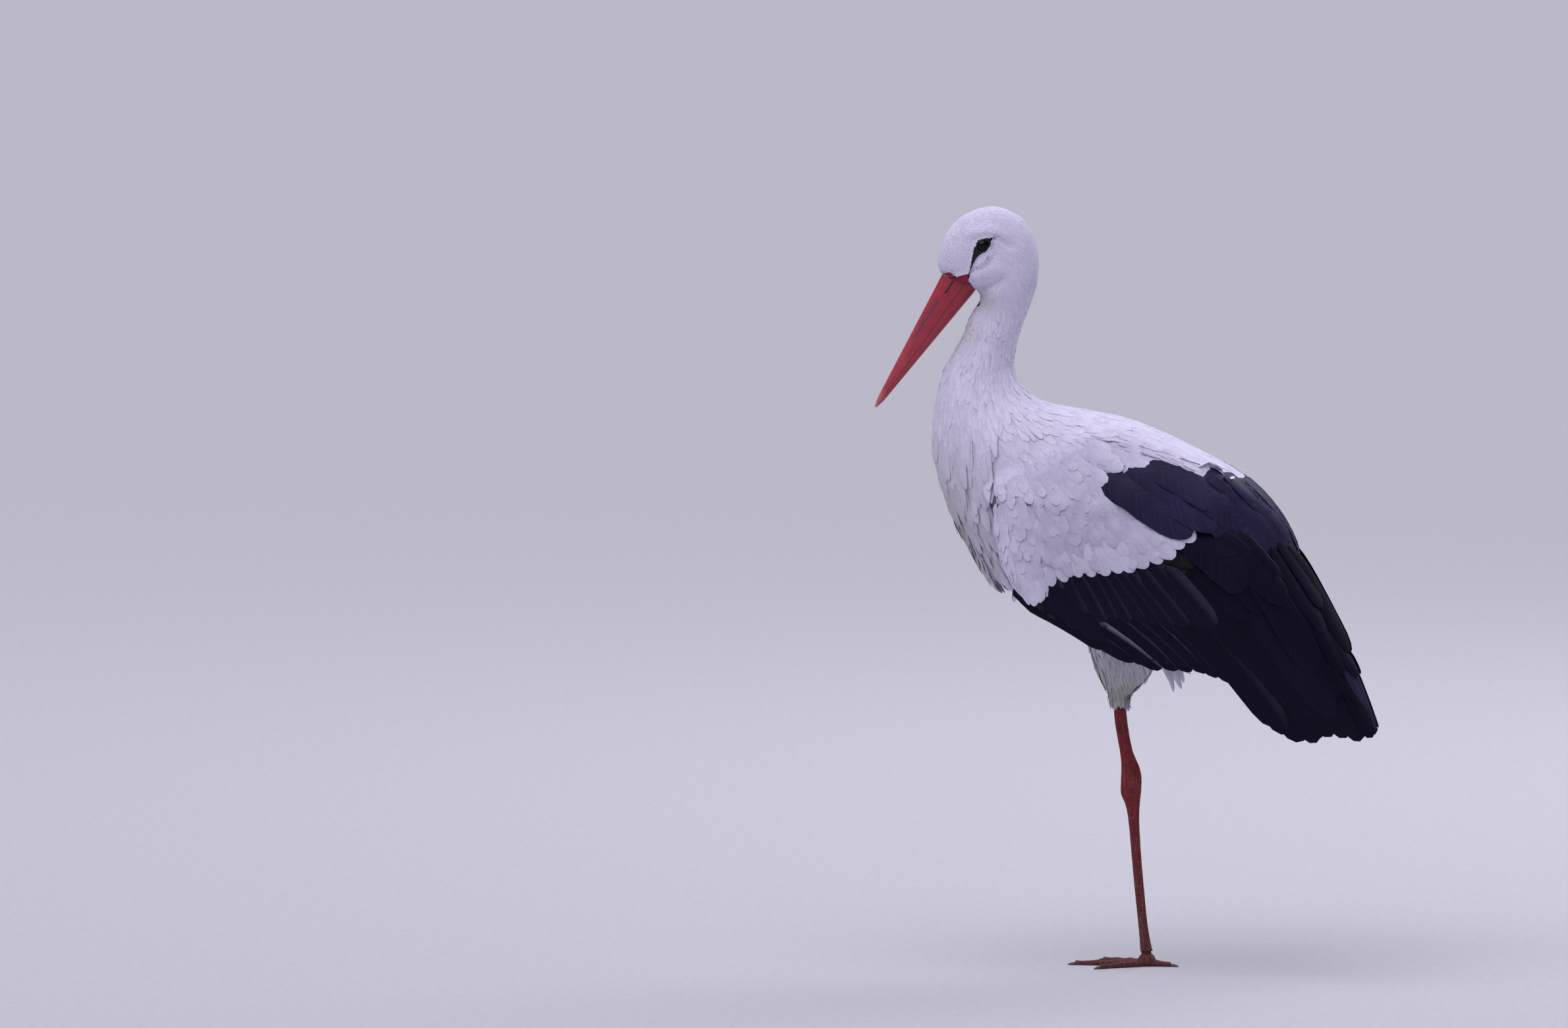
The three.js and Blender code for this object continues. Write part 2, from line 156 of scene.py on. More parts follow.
def light(name, kind, place, way, power, shade):
    """A light that stands at place and shines from the direction way."""
    bpy.ops.object.light_add(type=kind, location=place)
    lamp = bpy.context.object
    lamp.name = name
    lamp.data.energy = power
    lamp.data.color = colour(shade)[:3]
    lamp.rotation_euler = way.to_track_quat("Z", "Y").to_euler()
    return lamp.data


overcast = light("overcast_sky", "SUN", (-1.2, -2.2, 4.6), Vector((-0.20, -0.27, 0.94)), 2.65, "#F6F3FF")
overcast.angle = math.radians(70)
REAR = Vector((1.8, 3.0, 3.6))
panel = light("rear_panel", "AREA", REAR, REAR - Vector((0, 0, 0.5)), 65, "#EFF2FF")
panel.shape = "DISK"
panel.size = 3.0

world = bpy.data.worlds.new("studio_surround")
bpy.context.scene.world = world
world.use_nodes = True
fill(world.node_tree.nodes["Background"], {"Color": "#D4D3E2", "Strength": 0.30})
bpy.context.scene.view_settings.view_transform = "Standard"

# %% [markdown]
# ## The turned head
#
# The head looks fourteen degrees to the bird's left, and the neck twists below it. Places on the head are easier
# to name on a bird that looks straight ahead, so these helpers turn points back to that, and directions forward.

# %% Straight and turned
# The neck twists about an upright axis, between these two heights.
TURN = math.radians(14)
TURN_AXIS = np.array([-0.172, 0, 0])
TURN_LOW, TURN_HIGH = 0.690, 0.785


def unit(vectors):
    return vectors / np.maximum(np.linalg.norm(vectors, axis=-1, keepdims=True), 1e-12)


def turn_angle(z):
    share = np.clip((z - TURN_LOW) / (TURN_HIGH - TURN_LOW), 0, 1)
    return TURN * share * share * (3 - 2 * share)


def rotated(vectors, angle):
    """Vectors turned about the upright axis."""
    c, s = np.cos(angle), np.sin(angle)
    x, y, z = vectors[..., 0], vectors[..., 1], vectors[..., 2]
    return np.stack([x * c - y * s, x * s + y * c, z], -1)


def straight(points, angle=None):
    """Points as they would lie if the bird looked straight ahead, turned by their height unless an angle is given."""
    angle = turn_angle(points[..., 2]) if angle is None else angle
    return rotated(points - TURN_AXIS, -angle) + TURN_AXIS


# %% [markdown]
# ## Reading and writing meshes in bulk
#
# A coat has tens of thousands of vanes, so its points are worked out in whole arrays. These helpers read a mesh
# into arrays, write one back, and smooth one evenly without shrinking it.

# %% Mesh helpers
def read(items, name, width, kind=np.float32):
    """One property of all the items of a mesh as an array, a row for each."""
    flat = np.empty(len(items) * width, kind)
    items.foreach_get(name, flat)
    return flat.reshape(-1, width)


def points_of(piece):
    return read(piece.data.vertices, "co", 3).astype(float)


def normals_of(piece):
    return read(piece.data.vertex_normals, "vector", 3).astype(float)


def edges_of(piece):
    return read(piece.data.edges, "vertices", 2, np.int32)


def triangles_of(piece):
    piece.data.calc_loop_triangles()
    return read(piece.data.loop_triangles, "vertices", 3, np.int32)


def set_points(piece, points):
    piece.data.vertices.foreach_set("co", points.astype(np.float32).ravel())
    piece.data.update()


def averaged(values, edges):
    """Each vertex's values replaced by the mean of its neighbours'."""
    a, b = edges.T
    count = len(values)
    degree = np.maximum(np.bincount(edges.ravel(), minlength=count), 1)
    columns = values.reshape(count, -1)
    sums = [np.bincount(a, c[b], count) + np.bincount(b, c[a], count) for c in columns.T]
    return (np.stack(sums, 1) / degree[:, None]).reshape(values.shape)


def relaxed(points, edges, rounds):
    """Smooths without shrinking: a step towards the neighbours' mean, then a slightly longer one back."""
    for _ in range(rounds):
        for step in (0.5, -0.53):
            points = points + step * (averaged(points, edges) - points)
    return points


def softened(points, edges, share, rounds):
    """Smooths hard, by plain steps to the neighbours' mean, only where share is above 0."""
    for _ in range(rounds):
        points = points + 0.5 * share[:, None] * (averaged(points, edges) - points)
    return points


def put_attribute(piece, name, values):
    """A number, or a colour, kept on each vertex for a material to read."""
    kind = "FLOAT" if values.ndim == 1 else "FLOAT_COLOR"
    attribute = piece.data.attributes.new(name, kind, "POINT")
    if values.ndim == 1:
        attribute.data.foreach_set("value", values.astype(np.float32))
    else:
        full = np.concatenate([values, np.ones((len(values), 1))], 1)
        attribute.data.foreach_set("color", full.astype(np.float32).ravel())


def only(*pieces):
    bpy.ops.object.select_all(action="DESELECT")
    for piece in pieces:
        piece.select_set(True)
    bpy.context.view_layer.objects.active = pieces[0]


def edit_all(operator, **settings):
    """Runs one edit-mode operator on the whole of the active mesh."""
    bpy.ops.object.mode_set(mode="EDIT")
    bpy.ops.mesh.select_all(action="SELECT")
    operator(**settings)
    bpy.ops.object.mode_set(mode="OBJECT")


def in_order(piece):
    """A primitive with its faces sorted by their corners, because Blender makes them in a new order on each run."""
    work = bmesh.new()
    work.from_mesh(piece.data)
    count = len(work.verts)
    work.faces.sort(key=lambda face: face.verts[0].index * count + face.verts[1].index)
    work.to_mesh(piece.data)
    work.free()
    return piece


def joined_copy(name, *nodes):
    """One merged mesh from copies of solids, which themselves stay as they are."""
    copies = []
    for node in nodes:
        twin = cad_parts[node].copy()
        twin.data = twin.data.copy()
        twin.parent = None
        for key in list(twin.keys()):
            del twin[key]
        twin.data.materials.clear()
        bpy.context.scene.collection.objects.link(twin)
        copies.append(twin)
    only(*copies)
    if len(copies) > 1:
        bpy.ops.object.join()
    piece = bpy.context.object
    piece.name = name
    edit_all(bpy.ops.mesh.remove_doubles, threshold=1e-6)
    return piece


def remeshed(piece, size, rounds, grow=0.0):
    """The mesh swollen by grow, made anew of even squares of one size, and smoothed."""
    set_points(piece, points_of(piece) + normals_of(piece) * grow)
    only(piece)
    piece.data.remesh_voxel_size = size
    bpy.ops.object.voxel_remesh()
    set_points(piece, relaxed(points_of(piece), edges_of(piece), rounds))
    piece.data.polygons.foreach_set("use_smooth", np.ones(len(piece.data.polygons), bool))
    return piece


# %% [markdown]
# ## Feather tracts
#
# Feathers grow in tracts, and each tract has its own length, breadth and lie: bristle-short round the bill,
# hair-fine on the head, drawn out into lances on the foreneck, broad on the back. The table below names places on
# a bird that looks ahead, in millimetres, with the way the feathers lie there. Between the named places the
# values blend by nearness, so the lie turns smoothly round the body.

# %% Table of tracts
# place (x, out, z), lie (x, out, z), length, width, coat depth, distance between roots
TRACTS = [
    # head
    ((-250, 0, 838), (0.25, 0, 0.97), 6.0, 2.0, 0.7, 1.25),
    ((-240, 6, 868), (0.6, 0, 0.8), 7.0, 2.2, 1.0, 1.35),
    ((-215, 8, 890), (0.92, 0, 0.38), 9.0, 2.5, 1.3, 1.5),
    ((-182, 0, 899), (1, 0, -0.05), 11, 2.8, 1.5, 1.7),
    ((-150, 6, 884), (0.75, 0, -0.65), 13, 3.1, 2.0, 1.9),
    ((-131, 5, 850), (0.12, 0, -0.99), 16, 3.5, 2.8, 2.2),
    ((-135, 5, 800), (-0.1, 0, -1), 18, 5.0, 3.8, 2.5),
    ((-230, 17, 848), (0.85, 0.05, 0.05), 6.0, 2.0, 0.8, 1.25),
    ((-198, 22, 873), (0.98, 0, 0.12), 8, 2.3, 1.3, 1.4),
    ((-198, 25, 838), (0.85, 0, -0.5), 8, 2.3, 1.3, 1.4),
    ((-165, 27, 850), (0.82, 0, -0.57), 11, 2.9, 1.8, 1.7),
    ((-214, 16, 808), (0.75, 0, -0.65), 7, 2.1, 1.0, 1.35),
    ((-212, 4, 793), (0.55, 0, -0.83), 8, 2.8, 2.0, 2.0),
    ((-185, 26, 815), (0.6, 0, -0.8), 11, 2.9, 1.8, 1.7),
    ((-155, 26, 820), (0.3, 0, -0.95), 14, 3.4, 2.4, 2.0),
    # neck
    ((-214, 8, 768), (0.05, 0, -1), 16, 5.0, 3.6, 2.4),
    ((-180, 24, 765), (-0.05, 0, -1), 18, 5.4, 3.8, 2.5),
    ((-152, 4, 745), (-0.1, 0, -1), 20, 5.8, 4.4, 2.7),
    ((-198, 28, 720), (-0.12, 0, -0.99), 24, 6.6, 4.6, 3.0),
    ((-238, 5, 712), (-0.22, 0, -0.97), 28, 7.2, 5.0, 3.2),
    ((-150, 8, 698), (0.15, 0.1, -0.98), 26, 7.6, 5.4, 3.4),
    ((-200, 44, 675), (0, 0, -1), 32, 10, 5.0, 4.4),
    ((-168, 58, 632), (0.22, 0.05, -0.97), 34, 12, 4.2, 4.8),
    # foreneck and breast plumes
    ((-254, 8, 662), (-0.02, 0, -1), 44, 9.0, 6.0, 3.9),
    ((-258, 10, 610), (0.08, 0, -0.99), 58, 12, 6.5, 4.6),
    ((-215, 48, 600), (0.22, 0, -0.97), 50, 13.5, 6.5, 5.8),
    ((-248, 12, 560), (0.18, 0, -0.98), 64, 13.5, 6.5, 4.6),
    ((-215, 15, 510), (0.2, 0, -0.98), 62, 13.5, 6.0, 4.6),
    ((-180, 8, 465), (0.1, 0, -0.98), 46, 10, 5.0, 4.4),
    # back
    ((-112, 12, 672), (0.78, 0.08, -0.38), 30, 13, 6.6, 7.0),
    ((-45, 20, 652), (0.95, 0.06, -0.2), 38, 20, 6.4, 9.5),
    ((30, 20, 632), (0.96, 0.05, -0.25), 40, 21, 6.4, 10),
    ((100, 20, 592), (0.88, 0, -0.45), 40, 20, 6.6, 10),
    ((150, 15, 545), (0.7, 0, -0.7), 40, 18, 7.0, 9.5),
    ((180, 10, 490), (0.4, 0, -0.9), 42, 15, 6.0, 9),
    ((-60, 80, 560), (0.6, 0, -0.8), 30, 14, 6.0, 11),
    ((0, 84, 500), (0.8, 0, -0.6), 30, 15, 6.0, 12),
    # underside
    ((-180, 20, 480), (0.5, 0, -0.8), 44, 12, 8.0, 7.0),
    ((-120, 20, 440), (0.85, 0, -0.45), 44, 15, 8.0, 8.0),
    ((-40, 20, 400), (0.93, 0, -0.36), 46, 16, 8.0, 9.0),
    ((50, 20, 365), (0.93, 0, -0.36), 50, 16, 8.0, 8.5),
    ((125, 15, 342), (0.95, 0, -0.2), 48, 14, 7.0, 8),
    ((160, 10, 350), (0.8, 0, -0.4), 40, 13, 7.0, 8),
    # thighs
    ((-40, 48, 385), (0.15, 0, -0.98), 30, 6.5, 5.0, 3.2),
    ((-25, 40, 335), (0.1, 0, -0.99), 25, 5.0, 3.6, 2.5),
    # tail
    ((190, 12, 400), (0.55, 0, -0.83), 46, 19, 2.4, 9),
    ((240, 12, 310), (0.52, 0, -0.85), 20, 15, 2.0, 8),
]

# Within about this distance of a named place, in mm, its own values hold almost alone.
BLEND_REACH = 6


def one_sided(points):
    """Points in mm with the bird's right side laid over its left: (x, out, z)."""
    at = points * 1000
    at[:, 1] = np.abs(at[:, 1])
    return at


def blend_rule(table):
    """The rule that blends a table's rows by nearness."""
    places = np.array([row[0] for row in table], float)
    lies = unit(np.array([row[1] for row in table], float))
    sizes = np.array([row[2:] for row in table], float)

    def rule(points):
        """The lie, and length, width, depth and gap in metres, at points of the straight bird."""
        side = np.where(points[:, 1] < 0, -1.0, 1.0)
        at = one_sided(points)
        lies_sum, sizes_sum, total = np.zeros((len(at), 3)), np.zeros((len(at), sizes.shape[1])), 0
        for place, lie, size in zip(places, lies, sizes):
            weight = 1 / (((at - place) ** 2).sum(1) + BLEND_REACH**2) ** 2
            lies_sum += weight[:, None] * lie
            sizes_sum += weight[:, None] * size
            total = total + weight
        lies_sum[:, 1] *= side
        return unit(lies_sum), sizes_sum / total[:, None] / 1000

    return rule


body_rule = blend_rule(TRACTS)

# %% [markdown]
# ## One skin
#
# Under the feathers a bird has one thin skin from bill to toes. Copies of the flesh solids are joined and made
# into a single even mesh, which closes the cuts between them. It then draws in by the depth of the coat, so the
# feathers' tips, not their roots, end where the solids do. On the legs and round the eye there is no coat.

# %% Build the skin
FLESH = ["head", "neck_upper", "neck_lower", "breast_plume", "trunk", "tail"]
FLESH += [f"{part}_{side}" for side in ("left", "right") for part in ("thigh", "tibia", "tarsus", "foot")]
FLESH += ["wing_left_arm", "wing_right_arm"]
SKIN_GRAIN = 0.0016
SKIN_SWELL = 0.0004

skin = remeshed(joined_copy("skin", *FLESH), SKIN_GRAIN, rounds=8, grow=SKIN_SWELL)
print("skin:", len(skin.data.polygons), "squares")


# %% Which solid each place belongs to
def tree_of(nodes):
    """One search tree over several solids, and which of them each of its faces belongs to."""
    corners, faces, owner, start = [], [], [], 0
    for index, node in enumerate(nodes):
        corners.append(points_of(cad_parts[node]))
        faces.append(triangles_of(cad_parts[node]) + start)
        owner += [index] * len(faces[-1])
        start += len(corners[-1])
    return BVHTree.FromPolygons(np.concatenate(corners).tolist(), np.concatenate(faces).tolist()), np.array(owner)


solid_tree, solid_of_face = tree_of(FLESH)


def solids_at(points):
    """The index in FLESH of the solid nearest each point."""
    return solid_of_face[[solid_tree.find_nearest(p)[2] for p in points.tolist()]]


# %% [markdown]
# The eye sits in a teardrop of bare black skin, drawn out to a point up and back, and down and forward in a thin
# line to the corner of the gape. The same rule marks the skin there and keeps feathers off it.

# %% The bare patch and the eyes' places
eye_low, eye_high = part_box("eye_left")
EYE_LEFT = np.array((eye_low + eye_high) / 2)
eye_low, eye_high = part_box("eye_right")
EYE_RIGHT = np.array((eye_low + eye_high) / 2)
EYE_RADIUS = (eye_high.z - eye_low.z) / 2
EYE = straight(EYE_LEFT[None], TURN)[0] * 1000
print("eye", EYE.round(1), "radius", round(EYE_RADIUS * 1000, 2))

# Along the line through the patch: place (x, z) in mm from the eye, and the patch's half width there.
PATCH = [(13, 10, 0.2), (8, 6.5, 2.0), (3.5, 2.5, 5.9), (-1, -1, 7.4), (-6, -6.5, 5.0), (-9.5, -13, 2.7),
         (-12.5, -21, 1.4), (-15, -30, 0.9), (-16.5, -39, 0.9)]
# Two more bare places at the gape: place (x, z) and radius in mm.
SPOTS = [(-233, 816, 1.5), (-215, 807, 1.6)]
# The bill in side view, in mm: where its middle leaves the face, its tip, the way along it and the way down across.
BILL_BASE, BILL_TIP = np.array((-226, 810)), np.array((-325.7, 662.4))
BILL_LENGTH = 178.1
BILL_WAY = (BILL_TIP - BILL_BASE) / np.linalg.norm(BILL_TIP - BILL_BASE)
BILL_DOWN = np.array((-BILL_WAY[1], BILL_WAY[0]))
# How far along the bill, in mm, the feathers reach at each place down its base, from the culmen to the throat.
FEATHER_EDGE = [(-36, 24), (-27, 9), (-24, 6), (-21, 1.5), (-17, -2.5), (-13, -2.5), (-9.5, -0.5), (-6, -5),
                (-2, -10), (1.5, -13), (4, -9), (7, -6), (11, -4.5), (16, -3.2), (20, -2), (24, 4), (30, 40)]
# Only skin higher than this, in metres, belongs to the face, and only what lies this far from its middle to a side.
FACE_LOW, FACE_ASIDE = 0.78, 0.007
FAR = 1e3


def from_segment(at, a, b):
    """The gap of places in side view from the line a-b, and the share of it at which each is nearest."""
    way = b - a
    share = np.clip(((at - a) @ way) / (way @ way), 0, 1)
    return at - a - share[:, None] * way, share


def to_segment(points, a, b):
    """Distance in mm, in side view, of points of the straight bird from the line a-b, and the share along it."""
    gap, share = from_segment(points[:, (0, 2)] * 1000, np.array(a, float), np.array(b, float))
    return np.linalg.norm(gap, axis=1), share


def to_line(points, corners):
    """Distance in mm, in side view, of points of the straight bird from a line of corners."""
    return np.minimum.reduce([to_segment(points, a, b)[0] for a, b in zip(corners, corners[1:])], initial=FAR)


def outside_patch(points):
    """How far, in mm, points of the straight bird's head lie outside the bare black patch: below 0 inside it."""
    flat = points[:, (0, 2)] * 1000
    best = np.full(len(points), FAR)
    for (x0, z0, r0), (x1, z1, r1) in zip(PATCH, PATCH[1:]):
        gap, share = from_segment(flat - EYE[[0, 2]], np.array([x0, z0]), np.array([x1, z1]))
        best = np.minimum(best, np.linalg.norm(gap, axis=1) - (r0 + (r1 - r0) * share))
    for x, z, reach in SPOTS:
        best = np.minimum(best, np.linalg.norm(flat - (x, z), axis=1) - reach)
    return np.where((points[:, 2] > FACE_LOW) & (np.abs(points[:, 1]) > FACE_ASIDE), best, FAR)


def outside_gape(points):
    """How far, in mm, points lie behind the bare red skin that rims the bill's base."""
    at = points[:, (0, 2)] * 1000 - BILL_BASE
    edge = np.interp(at @ BILL_DOWN, *np.array(FEATHER_EDGE).T)
    return np.where(points[:, 2] > FACE_LOW, 0.75 * (edge - at @ BILL_WAY), FAR)


def outside_bare(points):
    return np.minimum(outside_patch(points), outside_gape(points))


# %% [markdown]
# Feathers lie so close on the head that its shape is the skin's: a brow over the eye, a fold under it, and a full
# cheek with a crease below. On the foreneck and breast the plumes part in long soft strands, and the coverts are
# ruffled. All of these are given to the skin itself, so that the feathers and the light follow them.

# %% Folds and strands
def flesh_is(labels, *names):
    """True where the label's solid has a name that starts with one of the names."""
    return np.isin(labels, [i for i, node in enumerate(FLESH) if node.startswith(names)])


# Each fold of the face: the line it runs along (x, z) in mm, its reach to either side, and how far it stands out.
FACE_FOLDS = [
    ([(-214, 868), (-196, 871), (-176, 863)], 6.0, 1.3),
    ([(-184, 862), (-168, 852)], 4.0, -1.0),
    ([(-189, 853), (-186, 842), (-199, 829), (-214, 822)], 2.6, -1.3),
    ([(-196, 841), (-206, 829)], 3.2, 0.9),
    ([(-210, 814), (-196, 819), (-184, 824)], 8.0, 2.0),
    ([(-216, 804), (-201, 803), (-179, 814)], 4.0, -2.4),
    ([(-218, 794), (-206, 790)], 5.0, 1.0),
]
FOLD_GAIN = 1.3
# The plumes' strands are deepest low on the breast: height in mm, and depth there.
STRAND_DEPTH = [(440, 3.2), (520, 3.2), (620, 3.0), (680, 2.2), (760, 1.2), (790, 0.0)]
# The folded wing's front edge: height, and x, in mm.
WING_FRONT = [(420, -118), (457, -146), (504, -164), (556, -172), (600, -168)]


def ripples(points, scale, shift, swell, cut, width):
    """Smooth noise at its own scale along each axis, that swells and has a narrow valley where it passes 0."""
    value = np.array([noise.noise(Vector(p)) for p in (points * scale + shift).tolist()])
    return value * swell - cut * np.exp(-((value / width) ** 2))


def relief(points, labels):
    """How far, in metres, the skin stands out in folds and strands at points of the straight bird."""
    x, z = points[:, 0] * 1000, points[:, 2] * 1000
    wing = flesh_is(labels, "wing")
    beside = np.clip((np.abs(points[:, 1]) - 0.006) / 0.008, 0, 1) * (z > 770)
    folds = [height * np.exp(-((to_line(points, line) / reach) ** 2)) for line, reach, height in FACE_FOLDS]
    out = sum(folds) * beside * FOLD_GAIN
    size = np.interp(z, *np.array(STRAND_DEPTH).T) * np.clip((-130 - x) / 40, 0, 1)
    out += ripples(points, (52, 52, 17), (0, 0, 0), 0.8, 0.6, 0.14) * size * ~wing
    low = np.clip((602 - z) / 30, 0, 1)
    out += ripples(points, (62, 0, 46), (7, 0, 0), 2.6, 1.5, 0.10) * low * wing
    # The bend of the wing stands out along its front edge, and the breast sinks in beside it.
    behind = x - np.interp(z, *np.array(WING_FRONT).T)
    out += 6.0 * low * wing * np.exp(-((np.maximum(behind, 0) / 22) ** 2))
    out -= 4.0 * low * ~wing * (np.abs(points[:, 1]) > 0.03) * np.exp(-(((behind + 2) / 16) ** 2)) * (z > 440)
    return out / 1000


# %% Draw the skin in by the coat's depth
WING_COAT = 0.0045
# Smoothing draws the skin in a little, and this puts it back out.
SOFT_SWELL = 0.0006
GAPE_LINE = [(-250, 818), (-214, 800)]
# Skin this close to a bare place, in mm, is bare too, and this far round it keeps all its faces.
BARE_EDGE, BARE_BORDER = 0.6, 6
skin_edges = edges_of(skin)
flesh_points = points_of(skin)
flesh_labels = solids_at(flesh_points)
at = straight(flesh_points)
# The cuts between solids are smoothed away, but not round the eye's patch and the gape, which stay crisp.
soft = flesh_is(flesh_labels, "head", "neck", "trunk", "breast", "thigh").astype(float)
soft *= np.clip(outside_patch(at) / 6, 0, 1) * np.clip((to_line(at, GAPE_LINE) - 4) / 10, 0, 1)
for _ in range(6):
    soft = np.minimum(soft, averaged(soft, skin_edges))
smooth = softened(flesh_points, skin_edges, soft, rounds=40)
set_points(skin, smooth + normals_of(skin) * (SOFT_SWELL * soft)[:, None])
flesh_points = points_of(skin)
at = straight(flesh_points)
depth = body_rule(at)[1][:, 2]
depth[flesh_is(flesh_labels, "tibia", "tarsus", "foot")] = 0
depth[flesh_is(flesh_labels, "wing")] = WING_COAT
depth[outside_bare(at) < BARE_EDGE] = 0
inward = normals_of(skin)
for _ in range(10):
    depth = 0.5 * depth + 0.5 * averaged(depth, skin_edges)
    inward = unit(0.5 * inward + 0.5 * averaged(inward, skin_edges))
set_points(skin, flesh_points - inward * (depth + SKIN_SWELL - relief(at, flesh_labels))[:, None])
print("coat depth from", round(depth.min() * 1000, 2), "to", round(depth.max() * 1000, 2), "mm")

# %% [markdown]
# Under the coat the skin needs few faces, while bare legs, feet and face need all of theirs. A weight on each
# vertex tells the decimation where it may thin the mesh.

# %% Thin the covered skin
bare = flesh_is(flesh_labels, "tibia", "tarsus", "foot") | (outside_bare(at) < BARE_BORDER)
group = skin.vertex_groups.new(name="covered")
group.add(np.flatnonzero(~bare).tolist(), 1.0, "REPLACE")
only(skin)
thin = skin.modifiers.new("thin", "DECIMATE")
thin.vertex_group = "covered"
thin.ratio = 0.3
bpy.ops.object.modifier_apply(modifier="thin")
skin.vertex_groups.clear()
skin_points, skin_faces = points_of(skin), triangles_of(skin)
skin_normals, skin_edges = normals_of(skin), edges_of(skin)
for _ in range(2):
    skin_normals = unit(skin_normals + averaged(skin_normals, skin_edges))
skin_labels = solids_at(skin_points)
print("skin thinned to", len(skin_faces), "triangles")

# %% [markdown]
# ## Markings
#
# The bird is white, with black flight feathers, greater coverts and long scapulars. The white carries faint
# stains: a greenish brown on the throat and below the cheek's crease, and a grey-beige between the plumes of the
# foreneck, partly stain and partly painted shade. Painted shade also greys the coverts and the shoulder, and the
# thighs and belly, greenish there as from light off the ground. Skin and feathers take their marks from the same
# rules, so they agree wherever the skin shows.

# %% Rules of the markings
def near(points, place, reach):
    """1 at a place (x, out, z in mm) of the straight bird, falling to 0 beyond the reach in mm."""
    return np.exp(-(((one_sided(points) - np.array(place)) / np.array(reach)) ** 2).sum(1))


def plain(code, count):
    return np.tile(np.array(colour(code)[:3]), (count, 1))


def mixed(shades, code, share):
    share = np.clip(share, 0, 1)[:, None]
    return shades * (1 - share) + np.array(colour(code))[None, :3] * share


WHITE = "#E6E1F5"
# Each stain's or painted shade's colour and strength, and its place and reach (x, out, z) in mm.
STAINS_AND_SHADE = [
    # throat
    ("#A9A183", 0.55, (-203, 18, 789), (20, 16, 11)),
    ("#B5AE93", 0.35, (-214, 8, 760), (12, 30, 22)),
    # between the lower plumes of the breast: partly a stain, partly painted shade
    ("#968F8A", 0.75, (-240, 10, 540), (50, 60, 95)),
    # thighs and belly: painted shade, greenish as from light thrown up off the ground
    ("#A3A79B", 0.9, (-35, 40, 345), (80, 60, 60)),
    # a greyer line along the brow
    ("#B9AFC4", 0.35, (-186, 26, 866), (15, 20, 4)),
    # coverts and shoulder: painted shade
    ("#B3ADC6", 0.75, (-70, 100, 510), (110, 60, 95)),
    ("#BDB7CE", 0.5, (-100, 75, 610), (90, 50, 60)),
]


def white_tint_and_shade(points):
    """The tint of white plumage at points of the straight bird, with its stains and its painted shade."""
    tint = plain(WHITE, len(points))
    for code, strength, place, reach in STAINS_AND_SHADE:
        tint = mixed(tint, code, strength * near(points, place, reach))
    return tint


# %% Where the wing turns black
# Edges of the white in side view, as (x, z) in mm: below it, round the foot of the black lobe, and over the lobe.
LOWER_EDGE = [(-150, 436), (-116, 436), (-108, 466), (-60, 475), (-18, 478), (30, 492), (62, 520)]
LOBE_EDGE = [(-44, 562), (50, 508)]
UPPER_EDGE = [(-42, 592), (10, 592), (60, 596), (128, 582), (150, 560)]


def above_edge(points):
    """True for points of the wing that lie on the white side of the edge."""
    x, z = points[:, 0] * 1000, points[:, 2] * 1000
    lower, lobe, upper = (np.interp(x, *np.array(edge).T) for edge in (LOWER_EDGE, LOBE_EDGE, UPPER_EDGE))
    beside = (z > lower) & ((x < -44) | ((z < lobe) & (x < 55)))
    return beside | (z > upper)


def lowered(points, drop):
    return points - np.array([0, 0, drop])


# %% Marks on the skin
DARK_TOP = 0.596
at = straight(skin_points)
leg_share = flesh_is(skin_labels, "tibia", "tarsus", "foot").astype(float)
for _ in range(2):
    leg_share = averaged(leg_share, skin_edges)
dark = flesh_is(skin_labels, "wing") & ~above_edge(lowered(skin_points, 0.012)) & (skin_points[:, 2] < DARK_TOP)
put_attribute(skin, "leg", leg_share)
put_attribute(skin, "face", np.clip(0.5 - outside_patch(at) / 4, 0, 1))
put_attribute(skin, "gape", np.clip(0.5 - outside_gape(at) / 4, 0, 1))
put_attribute(skin, "dark", dark.astype(float))
put_attribute(skin, "tint", white_tint_and_shade(at))

# %% [markdown]
# ## One vane, modelled once
#
# A small feather is a thin closed leaf: a quill down its middle, a vane each side, a round or pointed end. It is
# modelled once, from a sphere with its poles at root and tip, flattened and cambered. Copies of it are then bent
# along the body. The small tufts have four sides, which is enough for a leaf three millimetres long, and the
# broad feathers have eight or twelve, so that quill and camber show.

# %% Model the vane
def vane_pattern(sides, rings):
    """A flattened leaf from root (0) to tip (1). Gives each point's place along, across and up, and the faces."""
    bpy.ops.object.select_all(action="DESELECT")
    bpy.ops.mesh.primitive_uv_sphere_add(segments=sides, ring_count=rings, radius=1, location=(0, 0, 0))
    leaf = in_order(bpy.context.object)
    edit_all(bpy.ops.transform.resize, value=(1, 1, 0.5))
    edit_all(bpy.ops.transform.translate, value=(0, 0, 0.5))
    points = points_of(leaf)
    heights = np.unique(points[:, 2].round(4))
    row = np.searchsorted(heights, points[:, 2].round(4))
    ring = np.maximum(np.sqrt(np.clip(1 - (2 * points[:, 2] - 1) ** 2, 0, 1)), 1e-6)
    pole = (row == 0) | (row == len(heights) - 1)
    across, above = (np.where(pole, 0, points[:, axis] / ring) for axis in (0, 1))
    # Both sides of a web are cut along the same diagonal, so that they never cross where a vane bends.
    faces = []
    for polygon in leaf.data.polygons:
        corner = list(polygon.vertices)
        first = int(np.argmax([abs(across[v]) - 10 * row[v] for v in corner]))
        corner = corner[first:] + corner[:first]
        faces += [(corner[0], *pair) for pair in zip(corner[1:], corner[2:])]
    bpy.data.objects.remove(leaf)
    return {"row": row, "along": heights, "across": across.round(4), "above": above.round(4), "faces": faces}


